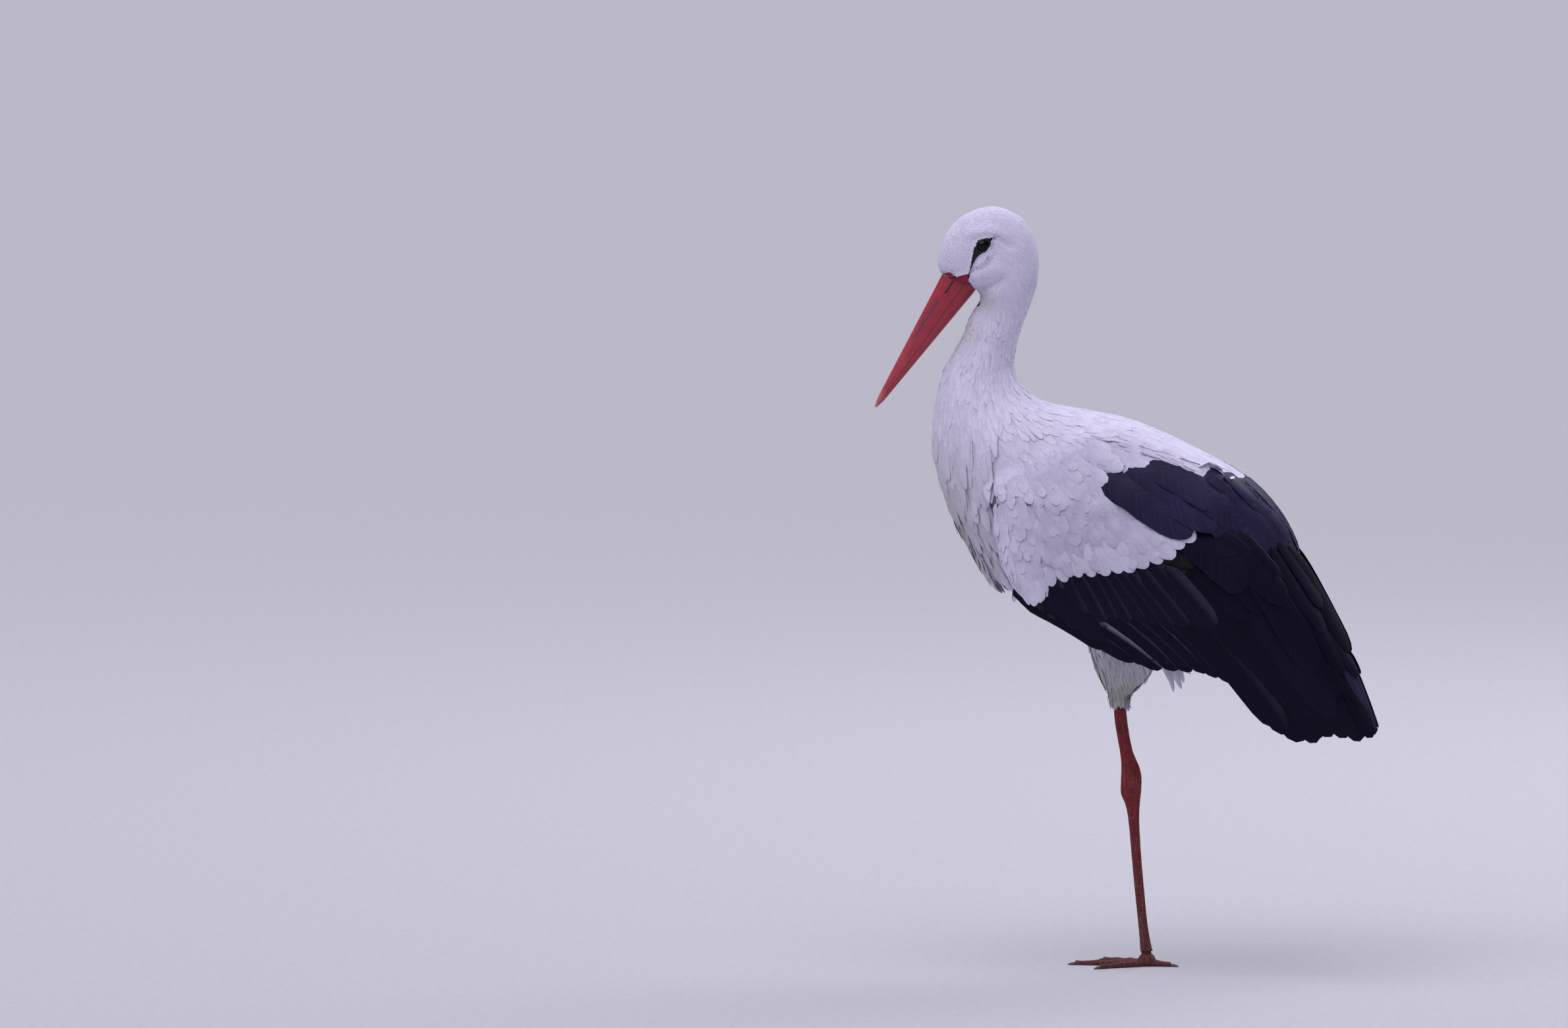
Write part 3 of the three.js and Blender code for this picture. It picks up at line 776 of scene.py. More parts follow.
TUFT = vane_pattern(4, 4)
PLUME = vane_pattern(4, 6)
SCALE = vane_pattern(8, 6)
QUILL = vane_pattern(12, 12)
for name, pattern in (("tuft", TUFT), ("plume", PLUME), ("scale", SCALE), ("quill", QUILL)):
    print(name, "rows", pattern["along"].round(2), "faces", len(pattern["faces"]))

# %% [markdown]
# ## Where the roots go
#
# Roots are spread over the skin evenly but not in step: many candidates are thrown at random, and of those that
# fall in one small cell only one stays. The cell is as large as the tract's own distance between roots.

# %% Surfaces to grow on
def surface_of(points, faces, normals):
    """A surface's mesh, and a tree that finds the nearest place on it."""
    tree = BVHTree.FromPolygons(points.tolist(), faces.tolist())
    return {"points": points, "faces": faces, "normals": normals, "tree": tree, "outs": unit(normals[faces].sum(1))}


on_wing = flesh_is(skin_labels, "wing")
winged = on_wing[skin_faces].all(1)
body = surface_of(skin_points, skin_faces[~winged], skin_normals)
wings = surface_of(skin_points, skin_faces[winged], skin_normals)

COVER_START = 0.17


def covering_surface():
    """The smooth outside over back and wings: for each slice and angle, the outermost place of the skin."""
    tree = BVHTree.FromPolygons(skin_points.tolist(), skin_faces.tolist())
    slices, angles = np.arange(-0.200, 0.2205, 0.0025), np.radians(np.arange(-112, 113, 2.0))
    middle = np.interp(slices, [-0.2, 0.0, 0.22], [0.54, 0.51, 0.40])
    reach = np.full((len(slices), len(angles)), COVER_START)
    for i, x in enumerate(slices.tolist()):
        centre = Vector((x, 0, middle[i]))
        for j, angle in enumerate(angles.tolist()):
            out = Vector((0, math.sin(angle), math.cos(angle)))
            hit = tree.ray_cast(centre + out * COVER_START, -out, COVER_START)[0]
            reach[i, j] = 0.03 if hit is None else (hit - centre).dot(out)
    # The gap between wing and back is bridged, and then the whole is smoothed.
    for pick in (np.maximum, np.minimum):
        reach = pick.reduce([np.roll(reach, k, 1) for k in range(-5, 6)])
    for _ in range(7):
        padded = np.pad(reach, 1, mode="edge")
        reach = (4 * reach + padded[:-2, 1:-1] + padded[2:, 1:-1] + padded[1:-1, :-2] + padded[1:-1, 2:]) / 8
    points = np.stack([np.repeat(slices, len(angles)), (reach * np.sin(angles)).ravel(),
                       (middle[:, None] + reach * np.cos(angles)).ravel()], 1)
    corner = (np.arange(len(slices) - 1)[:, None] * len(angles) + np.arange(len(angles) - 1)).ravel()
    low, high = corner, corner + len(angles)
    faces = np.concatenate([np.stack([low, low + 1, high + 1], 1), np.stack([low, high + 1, high], 1)])
    flat = np.cross(points[faces[:, 1]] - points[faces[:, 0]], points[faces[:, 2]] - points[faces[:, 0]])
    centres = points[faces].mean(1) - np.array([0, 0, 0.5])
    if (flat * centres * np.array([0, 1, 1])).sum() < 0:
        faces, flat = faces[:, ::-1], -flat
    normals = np.stack([np.bincount(faces.ravel(), np.repeat(flat[:, k], 3), len(points)) for k in range(3)], 1)
    return surface_of(points, faces, unit(normals))


cover = covering_surface()
print("covering surface:", len(cover["faces"]), "triangles")

# %% Scatter
THROWS = 5
CELL_UNIT, CELL_RATIO = 0.001, 1.2


def scatter(surface, keep, gap, seed):
    """Roots on a surface's faces where keep is true at the corners. Gives their places and normals."""
    dice = np.random.default_rng(seed)
    faces = surface["faces"][keep[surface["faces"][:, 0]]]
    corners = surface["points"][faces]
    area = np.linalg.norm(np.cross(corners[:, 1] - corners[:, 0], corners[:, 2] - corners[:, 0]), axis=1) / 2
    apart = gap[faces].mean(1)
    count = dice.poisson(THROWS * area / apart**2)
    face = np.repeat(np.arange(len(faces)), count)
    a, b = dice.random(len(face)), dice.random(len(face))
    a, b = np.where(a + b > 1, 1 - a, a), np.where(a + b > 1, 1 - b, b)
    shares = np.stack([1 - a - b, a, b], 1)
    places = (corners[face] * shares[:, :, None]).sum(1)
    normals = unit((surface["normals"][faces[face]] * shares[:, :, None]).sum(1))
    # Cells come in steps of size, so that each tract has its own. Two rounds, half a cell apart, thin the roots.
    step = np.round(np.log(apart[face] / CELL_UNIT) / math.log(CELL_RATIO)).astype(int)
    cell = CELL_UNIT * CELL_RATIO**step
    chosen = dice.permutation(len(face))
    for shift in (0.0, 0.5):
        keys = np.floor(places[chosen] / cell[chosen, None] + shift).astype(int)
        keys = np.concatenate([keys, step[chosen, None]], 1)
        first = np.unique(keys, axis=0, return_index=True)[1]
        chosen = chosen[np.sort(first)]
    return places[chosen], normals[chosen]


# %% [markdown]
# ## Laying a feather
#
# From its root each feather runs over the skin in its tract's direction, and rises as it goes: the root is at the
# skin and the tip at the outside of the coat, over the roots of the next feathers. Where the body falls away
# under it a feather bends after it, but only as far as its own stiffness allows, so long plumes hang clear.

# %% Lay
def nearest(surface, points):
    """The nearest places on a surface, and its outward directions there."""
    found = [surface["tree"].find_nearest(p) for p in points.reshape(-1, 3).tolist()]
    feet, outs = np.array([f[0] for f in found]), surface["outs"][[f[2] for f in found]]
    return feet.reshape(points.shape), outs.reshape(points.shape)


def level(vectors, normals):
    """Directions laid flat on the surface that has these normals."""
    return unit(vectors - normals * (vectors * normals).sum(-1, keepdims=True))


# A feather has risen most of the coat's depth at this share of its length.
RISEN = 0.12
# Over a drop deeper than about this, in metres, it no longer bends after the skin.
DROP = 0.010
# At each row it takes up this share of the new lie, and moves out or in by at most this share of its length.
YIELD, STRIDE = 0.45, 0.6


def lay(surface, places, normals, ways, lengths, depths, along, stand, follow, rule):
    """Middle lines of vanes: places, outward directions and ways ahead, each as [feather, row]."""
    place, normal = places, normals
    way = level(ways, normal)
    line, outs = [place], [normal]
    for before, here in zip(along, along[1:]):
        place = place + way * (lengths * (here - before))[:, None]
        foot, under = nearest(surface, place)
        wanted = depths * (0.9 * min(1.0, here / RISEN) + 0.1 * here) + stand * here**2
        height = ((place - foot) * under).sum(1)
        hold = 0.5 * np.clip(1.2 - (height - wanted) / DROP, 0.1, 1) * (0.3 + 0.7 * follow)
        normal = unit(normal + hold[:, None] / (1 - hold[:, None]) * under)
        height = ((place - foot) * normal).sum(1)
        change = np.where(height < wanted, wanted - height, (wanted - height) * follow)
        place = place + normal * np.minimum(change, lengths * STRIDE)[:, None]
        fresh = rotated(rule(straight(place))[0], turn_angle(place[:, 2]))
        way = level(unit((1 - YIELD) * way + YIELD * fresh), normal)
        line.append(place)
        outs.append(normal)
    line = np.stack(line, 1)
    return line, np.stack(outs, 1), unit(np.gradient(line, axis=1))


# %% [markdown]
# A vane's outline runs from a narrow foot to its full breadth and then to the end, which is round on a body
# feather and drawn to a point on a plume. Each coat piece is one mesh of many copies of the pattern. It carries
# two maps: one runs along and across each vane for its barbs and quill, and OFBake gives each feather a tiny
# patch where its root lies on an unwrap of the skin, along the bird's spine and round it.

# %% Outline and unwrap
SPINE = np.array([(-226, 809), (-225, 829), (-208, 845), (-190, 846), (-170, 838), (-170, 812), (-184, 766),
                  (-196, 715), (-206, 677), (-193, 640), (-166, 612), (-90, 560), (0, 530), (90, 490), (150, 420),
                  (190, 370), (235, 300)]) / 1000


def spine_place(points):
    """Each point's share of the way down the spine, and its share of the way round it."""
    at = points[:, (0, 2)]
    steps = np.linalg.norm(np.diff(SPINE, axis=0), axis=1)
    starts = np.concatenate([[0], np.cumsum(steps)])
    best, share, turn_round = np.full(len(at), 1e9), np.zeros(len(at)), np.zeros(len(at))
    for i, (a, b) in enumerate(zip(SPINE, SPINE[1:])):
        gap, t = from_segment(at, a, b)
        distance = (gap**2).sum(1)
        closer = distance < best
        side = (b - a)[0] * gap[:, 1] - (b - a)[1] * gap[:, 0]
        best = np.where(closer, distance, best)
        share = np.where(closer, (starts[i] + t * steps[i]) / starts[-1], share)
        turn_round = np.where(closer, np.arctan2(points[:, 1], side) / (2 * math.pi) + 0.5, turn_round)
    return np.stack([share, turn_round], 1)


def outline(along, end, shoulder=0.55):
    """Half width from 0 to 1 at each place along, for ends from 0, round beyond the shoulder, to 1, a lance."""
    along = along[None]
    # The root has under half of the full breadth, which is reached at a sixth of the length.
    foot = np.clip(0.45 + along / 0.3, 0, 1)
    blunt = np.sqrt(np.clip(1 - (np.clip(along - shoulder, 0, 1) / (1 - shoulder)) ** 2.2, 0, 1))
    lance = np.clip(1 - along, 0, 1) ** 0.75 * np.clip(0.75 + along * 2, 0, 1.25) / 1.02
    end = np.asarray(end).reshape(-1, 1)
    return foot * (blunt * (1 - end) + lance * end)


# %% Weave vanes into a mesh
coat_pieces = {}
TRIANGLE_LIMIT = 199000
BAKE_PATCH = 0.003
# How much of the mesh's own normals shows against those of a softly rounded vane, and how far those lean aside.
CRISP, LEAN = 0.25, 0.35
# The quill's ridge covers this share of a web on each side of it.
QUILL_SHARE = 0.05


def weave(name, pattern, line, outs, ahead, half, thick, camber, ridge, tints, slot, roll, webs=None, lower=1):
    """One coat piece of closed vanes on their middle lines. half and thick are [feather, row] in metres."""
    count = len(line)
    outs = level(outs, ahead)
    side = np.cross(ahead, outs)
    c, s = np.cos(roll), np.sin(roll)
    outs, side = outs * c + side * s, side * c - outs * s
    row, across, above = pattern["row"], pattern["across"], pattern["above"]
    lift = camber * (1 - across**2)[None] * half[:, row] + thick[:, row] * above[None]
    on_quill = (np.abs(across) < QUILL_SHARE) & (above > 0)
    lift = lift + ridge * on_quill[None] * (1 - pattern["along"][row])[None]
    places = line[:, row] + side[:, row] * (half[:, row] * across[None])[..., None] + outs[:, row] * lift[..., None]
    each = places.shape[1]
    faces = np.array([f[::-1] for f in pattern["faces"]])
    triangles = len(faces) * count
    corner = (faces.ravel()[None] + (np.arange(count) * each)[:, None]).ravel()
    mesh = bpy.data.meshes.new(name)
    mesh.vertices.add(count * each)
    mesh.vertices.foreach_set("co", places.reshape(-1, 3).astype(np.float32).ravel())
    mesh.loops.add(len(corner))
    mesh.loops.foreach_set("vertex_index", corner.astype(np.int32))
    mesh.polygons.add(triangles)
    mesh.polygons.foreach_set("loop_start", np.arange(triangles, dtype=np.int32) * 3)
    mesh.update(calc_edges=True)
    mesh.polygons.foreach_set("use_smooth", np.ones(triangles, bool))
    leaning = side[:, row] * (LEAN * across[None, :, None]) + outs[:, row] * np.sign(above + 0.3)[None, :, None]
    own = read(mesh.vertex_normals, "vector", 3).reshape(count, each, 3)
    soft = unit(unit(leaning) * (1 - CRISP) + own * CRISP).reshape(-1, 3)
    mesh.normals_split_custom_set_from_vertices(soft.astype(np.float32))
    piece = bpy.data.objects.new(name, mesh)
    bpy.context.scene.collection.objects.link(piece)
    vane = np.stack([0.5 + 0.5 * across, pattern["along"][row]], 1)
    root = spine_place(line[:, 0])
    low, high = root.min(0), root.max(0)
    root = 0.01 + 0.98 * (root - low) / np.maximum(high - low, 1e-6)
    patch = root[:, None] + (vane[None] - 0.5) * BAKE_PATCH
    for title, values in (("vane", np.tile(vane, (count, 1))), ("OFBake", patch.reshape(-1, 2))):
        layer = mesh.uv_layers.new(name=title)
        layer.data.foreach_set("uv", values[corner].astype(np.float32).ravel())
    put_attribute(piece, "tint", np.repeat(tints, each, axis=0))
    put_attribute(piece, "tone", np.repeat(np.random.default_rng(count).random(count), each))
    if webs is not None:
        strip = np.interp(across * lower, [-1.0, -0.87, -0.5, -0.2], [0.25, 1.0, 0.8, 0.0])
        ends = np.interp(pattern["along"][row], [0.0, 0.3, 0.9, 1.0], [0.6, 1.0, 1.0, 0.2])
        put_attribute(piece, "web", (webs[:, None] * (strip * ends)[None]).ravel())
    print(f"{name}: {count} vanes, {triangles} triangles")
    if triangles > TRIANGLE_LIMIT:
        raise ValueError(f"{name} has too many triangles")
    coat_pieces[name] = (piece, slot)
    return piece


# %% [markdown]
# ## Plumage materials
#
# White feathers are unpigmented keratin, white because their barbs scatter light. They are matt, with a soft
# sheen at grazing angles. The barbs run out from the quill at a slant, about a tenth of a millimetre apart. That is
# far too fine to see from here, so they are drawn in bundles of about one millimetre, as a real vane splits.

# %% White plumage
def vane_coordinates(tree):
    """The vane's own map as its place across, from 0 at the quill to 1 at the edge, and its place along."""
    parts = add(tree, "SeparateXYZ", {0: add(tree, "UVMap", uv_map="vane")})
    off = add(tree, "Math", {0: parts.outputs["X"], 1: 0.5}, operation="SUBTRACT")
    size = add(tree, "Math", {0: off}, operation="ABSOLUTE")
    return add(tree, "Math", {0: size, 1: 2.0}, operation="MULTIPLY"), parts.outputs["Y"]


def barbs(tree, across, along, tone, bundles):
    """A stripe pattern that slants from quill to edge, broken up so that no two bundles match."""
    slant = add(tree, "Math", {0: across, 1: -0.16, 2: along}, operation="MULTIPLY_ADD")
    parts = {axis: add(tree, "Math", {0: value, 1: scale}, operation="MULTIPLY")
             for axis, value, scale in (("X", across, 0.35), ("Y", slant, bundles), ("Z", tone, 50.0))}
    apart = add(tree, "CombineXYZ", parts)
    return add(tree, "TexNoise", {"Vector": apart, "Scale": 1.0, "Detail": 2.0, "Roughness": 0.6})


def plumage(name, bundles, root_shade, quill_shade, bump, streaks):
    material, tree, shader = new_material(name)
    across, along = vane_coordinates(tree)
    tone = add(tree, "Attribute", attribute_name="tone").outputs["Fac"]
    strands = barbs(tree, across, along, tone, bundles)
    tint = add(tree, "Attribute", attribute_name="tint")
    # Darker towards each feather's root: partly the grey down at its base, partly painted shade for the depth between
    # overlapping feathers.
    undertone = add(tree, "ValToRGB", {"Fac": along}, stops=[(0.0, root_shade), (0.62, 1)])
    body = add(tree, "Mix", {"Factor": 1.0, FIRST: tint, SECOND: undertone}, **MULTIPLY)
    streak = add(tree, "MapRange", {"Value": strands, "From Min": 0.3, "From Max": 0.7, "To Min": streaks[0],
                                    "To Max": streaks[1]})
    each = add(tree, "MapRange", {"Value": tone, "To Min": 0.95, "To Max": 1.02})
    both = add(tree, "Math", {0: streak, 1: each}, operation="MULTIPLY")
    shaded = add(tree, "VectorMath", {0: body, "Scale": both}, operation="SCALE")
    quill = add(tree, "ValToRGB", {"Fac": across}, stops=[(0.0, quill_shade), (0.09, 1)])
    finish = add(tree, "Mix", {"Factor": 1.0, FIRST: shaded, SECOND: quill}, **MULTIPLY)
    raised = add(tree, "Bump", {"Height": strands, "Strength": bump, "Distance": 0.0004})
    fill(shader, {"Base Color": finish, "Normal": raised, "IOR": KERATIN_IOR})
    return material, tree, shader


white_keratin, tree, shader = plumage("white_feather_keratin", 22.0, "#E2DEEA", "#F6F5F8", 0.12, (0.92, 1.04))
fill(shader, {"Roughness": 0.8, "Sheen Weight": 0.12, "Sheen Roughness": 0.5, "Specular IOR Level": 0.25})

# %% [markdown]
# ## The coat of the body
#
# Each tract becomes one piece or two. Feathers that would lie wholly under a folded wing are left out, because
# they could never be seen. Each feather's length, breadth, turn and shade vary a little from its neighbours'.

# %% Grow one tract
WING_PARTS = [f"wing_{side}_{part}" for side in ("left", "right") for part in ("arm", "quills")]
wing_tree = tree_of(WING_PARTS)[0]
BEHIND = Vector(unit(np.array([0.55, 0, -0.83])))
OFF_SKIN, BEHIND_STEP, WING_REACH = 0.002, 0.03, 0.05


def under_wing(places, normals):
    """True where the wing lies close over a root, straight out from the skin and also just behind it."""
    hidden = []
    for place, normal in zip(places.tolist(), normals.tolist()):
        out = Vector(normal)
        start = Vector(place) + out * OFF_SKIN
        hits = [wing_tree.ray_cast(start + BEHIND * step, out, WING_REACH)[0] for step in (0, BEHIND_STEP)]
        hidden.append(all(h is not None for h in hits))
    return np.array(hidden)


# Each feather's length, width and depth lie between these shares of its tract's.
SPREADS = (0.82, 1.15), (0.85, 1.15), (0.9, 1.06)
ROLL_SPREAD = 0.03
SMALL_RIDGE = 0.0001
# Distances from bare skin, in mm: roots keep clear of it, tips come no nearer, and feathers beside it are smaller.
ROOT_CLEAR, TIP_CLEAR, BESIDE_BARE = 0.4, 0.2, 9
# A feather that would lie over bare skin is cut to this share of its length, up to four times.
CUT = 0.72
# A plume over the line that tips may hang to is at least this long, in metres.
SHORTEST = 0.012


def grow(name, keep, pattern, seed, end, follow=0.5, stand=0.0, wild=0.12, dense=1.0, rule=body_rule, hide=True,
         slot="plumage_white", thick=0.00014, camber=0.14, colouring=white_tint_and_shade, surface=body, lowest=None, drop=None):
    """One coat piece over the surface where keep is true. lowest is how far down tips may hang, by x."""
    gap = rule(straight(surface["points"]))[1][:, 3] / dense
    places, normals = scatter(surface, keep, gap, seed)
    clear = outside_bare(straight(places)) > ROOT_CLEAR
    places, normals = places[clear], normals[clear]
    if hide:
        seen = ~under_wing(places, normals)
        places, normals = places[seen], normals[seen]
    count = len(places)
    dice = np.random.default_rng(seed + 1)
    lies, sizes = rule(straight(places))
    lies = rotated(lies, turn_angle(places[:, 2]))
    lies = unit(lies + np.cross(lies, normals) * dice.normal(0, wild, count)[:, None])
    lengths, widths, depths = (size * dice.uniform(*spread, count) for size, spread in zip(sizes.T, SPREADS))
    # Feathers are smaller beside bare skin, and shorter where they would lie over it.
    close = np.clip(0.45 + outside_bare(straight(places)) / BESIDE_BARE, 0.45, 1)
    lengths, widths = lengths * close, widths * close
    for share in (1.0, 0.75, 0.5, 0.3):
        over = outside_bare(straight(places + lies * (lengths * share)[:, None])) < TIP_CLEAR
        lengths = np.where(over, lengths * CUT, lengths)
    if lowest is not None:
        room = places[:, 2] - np.interp(places[:, 0], *np.array(lowest).T / 1000)
        lengths = np.clip(lengths, None, np.maximum(room * 1.1, SHORTEST) + dice.uniform(0, 0.006, count))
    stands = stand * dice.uniform(0, 1, count) ** 2
    line, outs, ahead = lay(surface, places, normals, lies, lengths, depths, pattern["along"], stands, follow, rule)
    # A vane that would double back or twist over is left out.
    steps, whole = unit(np.diff(line, axis=1)), unit(line[:, -1] - line[:, 0])
    true = ((whole * lies).sum(1) > 0.45) & ((steps * whole[:, None]).sum(2) > 0.6).all(1)
    true &= ((outs[:, 1:] * outs[:, :-1]).sum(2) > 0.5).all(1)
    if drop is not None:
        true &= ~drop(line[:, -1 - line.shape[1] // 3] * 1000)
    line, outs, ahead, places, widths = line[true], outs[true], ahead[true], places[true], widths[true]
    half = outline(pattern["along"], np.broadcast_to(end, len(places))) * widths[:, None] / 2
    thickness = thick * (0.25 + 0.75 * half / (widths[:, None] / 2))
    rolls = dice.normal(0, ROLL_SPREAD, len(places))[:, None, None]
    return weave(name, pattern, line, outs, ahead, half, thickness, camber, SMALL_RIDGE, colouring(straight(places)),
                 slot, rolls)


# %% Head and neck
left_side = straight(skin_points)[:, 1] < 0
is_head = flesh_is(skin_labels, "head")
for name, here, seed in (("coat_head_left", left_side, 11), ("coat_head_right", ~left_side, 12)):
    grow(name, is_head & here, TUFT, seed, 0.45, follow=0.9, stand=0.0003, camber=0.1, dense=1.15)
is_neck = flesh_is(skin_labels, "neck_upper")
chin = is_head & (skin_points[:, 2] < 0.793) & (skin_points[:, 0] < -0.188)
grow("coat_neck", is_neck | chin, PLUME, 13, 0.55, follow=0.9, stand=0.0010, wild=0.08)

# %% Breast plumes
# The mantle's lower edge in side view, and the line that the tips of the plumes may hang to, as (x, z) in mm.
BACK_EDGE = [(-188, 700), (-185, 582), (-150, 586), (-122, 598), (-100, 600), (-40, 594), (60, 596), (96, 590),
             (112, 700)]
PLUME_ENDS = [(-230, 520), (-200, 470), (-190, 453), (-170, 446), (-158, 458), (-150, 470)]
BACK_TOP = 0.68


def over_back(points):
    """True where the mantle lies smoothly over back and wing alike: above its edge, and behind the neck."""
    neck = (points[:, 0] < -0.135) & (np.abs(points[:, 1]) < 0.05)
    edge = np.interp(points[:, 0] * 1000, *np.array(BACK_EDGE).T)
    return (points[:, 2] * 1000 > edge) & (points[:, 2] < BACK_TOP) & ~neck


def over_wing(tips):
    """True for feathers of the breast that would run up over the folded wing's front, by places in mm."""
    behind = tips[:, 0] - np.interp(tips[:, 2], *np.array(WING_FRONT).T)
    return (behind > -6) & (np.abs(tips[:, 1]) > 38) & (tips[:, 2] < 630)


is_plume = flesh_is(skin_labels, "breast_plume", "neck_lower") & ~over_back(lowered(skin_points, 0.02))
hanging = skin_normals[:, 2] > -0.15
grow("coat_breast", is_plume & hanging, PLUME, 14, 0.3, follow=0.35, stand=0.0006, wild=0.07, lowest=PLUME_ENDS,
     camber=0.12, drop=over_wing)

# %% Mantle
# The same columns as in the table of tracts.
MANTLE = [
    ((-160, 60, 650), (0.3, 0.1, -0.92), 30, 12, 4.2, 4.8),
    ((-120, 12, 672), (0.78, 0.08, -0.38), 30, 13, 6.4, 5.6),
    ((-45, 20, 655), (0.95, 0.06, -0.2), 36, 16, 6.4, 7.0),
    ((30, 20, 632), (0.96, 0.05, -0.25), 38, 17, 6.4, 7.4),
    ((100, 20, 592), (0.88, 0, -0.45), 38, 18, 6.6, 7.6),
    ((150, 15, 545), (0.7, 0, -0.7), 38, 16, 6.8, 7.4),
    ((-168, 70, 600), (0.3, 0.06, -0.95), 24, 11, 3.4, 4.6),
    ((-120, 84, 610), (0.66, 0.08, -0.72), 28, 13, 3.6, 5.4),
    ((-60, 86, 615), (0.86, 0.05, -0.48), 34, 16, 4.0, 6.4),
    ((0, 82, 615), (0.94, 0.06, -0.32), 40, 18, 5.4, 7.4),
    ((60, 76, 605), (0.94, 0.04, -0.32), 42, 19, 6.4, 7.8),
    ((115, 66, 585), (0.88, 0, -0.44), 42, 18, 7.0, 7.8),
]
grow("coat_mantle", over_back(cover["points"]), SCALE, 19, 0.3, follow=0.95, stand=0.0004, surface=cover, hide=False,
     camber=0.1, dense=1.12, rule=blend_rule(MANTLE), drop=lambda tips: tips[:, 0] > 112)


# %% Back, underside, thighs and tail
def through_wing(tips):
    return (np.abs(tips[:, 1]) > 55) & (tips[:, 2] > 350)


is_trunk = flesh_is(skin_labels, "trunk") & ~over_back(skin_points)
upper = is_trunk & (skin_normals[:, 2] > -0.15)
grow("coat_back", upper, SCALE, 15, 0.25, follow=0.8, stand=0.001, drop=through_wing)
grow("coat_belly", is_trunk & ~upper, SCALE, 16, 0.35, follow=0.4, stand=0.006, wild=0.15, drop=through_wing)
# Long loose fluff grows on the flanks behind the thighs, and its pale tips hang out under the wing's lower edge.
FLUFF = [((0, 40, 430), (0.3, 0, -0.95), 78, 12, 4, 7.0), ((60, 40, 430), (0.5, 0, -0.86), 92, 12, 4, 7.0),
         ((115, 40, 430), (0.6, 0, -0.8), 90, 11, 4, 7.0)]
x, _, z = skin_points.T * 1000
aside = skin_normals[:, 1] * np.sign(skin_points[:, 1])
flank = is_trunk & (aside > 0.5) & (x > -10) & (x < 62) & (z < 445)
grow("coat_fluff", flank, PLUME, 20, 0.35, follow=0.05, stand=0.001, wild=0.08, rule=blend_rule(FLUFF), hide=False)
THIGH_ENDS = [(-70, 316), (-20, 312), (20, 322)]
for side in ("left", "right"):
    grow(f"coat_thigh_{side}", flesh_is(skin_labels, f"thigh_{side}"), PLUME, 17, 0.6, follow=0.6, stand=0.003,
         hide=False, lowest=THIGH_ENDS)
is_tail = flesh_is(skin_labels, "tail") & (skin_points[:, 0] < 0.235)
grow("coat_tail", is_tail, SCALE, 18, 0.15, follow=0.8, hide=False)

# %% [markdown]
# ## The folded wing
#
# A folded wing is a fan closed up. The longest feathers, the primaries, lie deepest. The secondaries lie over
# them, each inner one over its outer neighbour, so that only a strip of each outer web shows. The greater coverts
# cover their bases, the white coverts cover those, and the scapulars from the shoulder lie over all. Each row is
# given by the line its tips make, and how the first and last feather of the row lie. The wing's surface comes from
# its solid, as a field of distances out from the bird's middle, and each layer has its own height over it.

# %% The wing's surface as a field
FIELD_LOW, FIELD_STEP = np.array([-0.19, 0.25]), 0.004
FIELD_SIZE = (122, 104)
RAY_LENGTH = 0.3


def wing_field():
    """How far out the left wing lies over a grid of places in side view, carried on smoothly past its edges."""
    out = np.full(FIELD_SIZE, np.nan)
    for i, j in np.ndindex(FIELD_SIZE):
        x, z = FIELD_LOW + FIELD_STEP * np.array([i, j])
        hit = wing_tree.ray_cast(Vector((x, -RAY_LENGTH, z)), Vector((0, 1, 0)), RAY_LENGTH)[0]
        if hit is not None:
            out[i, j] = -hit.y
    known = ~np.isnan(out)
    out[~known] = 0
    weight = known.astype(float)
    filled = out.copy()
    for _ in range(60):
        around, total = np.zeros_like(out), np.zeros_like(out)
        for axis in (0, 1):
            for shift in (-1, 1):
                around += np.roll(filled * weight, shift, axis)
                total += np.roll(weight, shift, axis)
        fresh = np.where(total > 0, around / np.maximum(total, 1e-9), 0)
        filled = np.where(known, out, fresh)
        weight = np.maximum(weight, (total > 0) * 0.5)
    for _ in range(10):
        filled = 0.5 * filled + 0.125 * sum(np.roll(filled, s, a) for a in (0, 1) for s in (-1, 1))
    return filled


wing_out = wing_field()
print("wing stands out up to", round(wing_out.max() * 1000, 1), "mm")


def field_at(x, z):
    """How far out the left wing's surface is, and its outward direction, at places in side view."""
    at = np.clip((np.stack([x, z], -1) - FIELD_LOW) / FIELD_STEP, 0, np.array(FIELD_SIZE) - 1.001)
    i, j = at[..., 0].astype(int), at[..., 1].astype(int)
    a, b = at[..., 0] - i, at[..., 1] - j
    corner = [wing_out[i, j], wing_out[i + 1, j], wing_out[i, j + 1], wing_out[i + 1, j + 1]]
    out = corner[0] * (1 - a) * (1 - b) + corner[1] * a * (1 - b) + corner[2] * (1 - a) * b + corner[3] * a * b
    slope_x = ((corner[1] - corner[0]) * (1 - b) + (corner[3] - corner[2]) * b) / FIELD_STEP
    slope_z = ((corner[2] - corner[0]) * (1 - a) + (corner[3] - corner[1]) * a) / FIELD_STEP
    return out, unit(np.stack([-slope_x, -np.ones_like(out), -slope_z], -1))


# %% [markdown]
# The rows are laid out as they look from ahead of the wing's side, where the pattern shows best, so each place
# is carried along that line of sight onto the wing.

# %% Lay a row
def onto_wing(across, height):
    """Side-view places of points laid out in the slanted view."""
    x, z = across.copy(), height.copy()
    for _ in range(6):
        y = -field_at(x, z)[0]
        x = (across - y * right.y) / right.x
        z = (height - x * up.x - y * up.y) / up.z
    return x, z


def along_line(corners, shares):
    """Places at given shares of the length of a line of corners, which are in mm."""
    corners = np.array(corners, float) / 1000
    steps = np.concatenate([[0], np.cumsum(np.linalg.norm(np.diff(corners, axis=0), axis=1))])
    return np.stack([np.interp(shares * steps[-1], steps, corners[:, k]) for k in (0, 1)], 1)


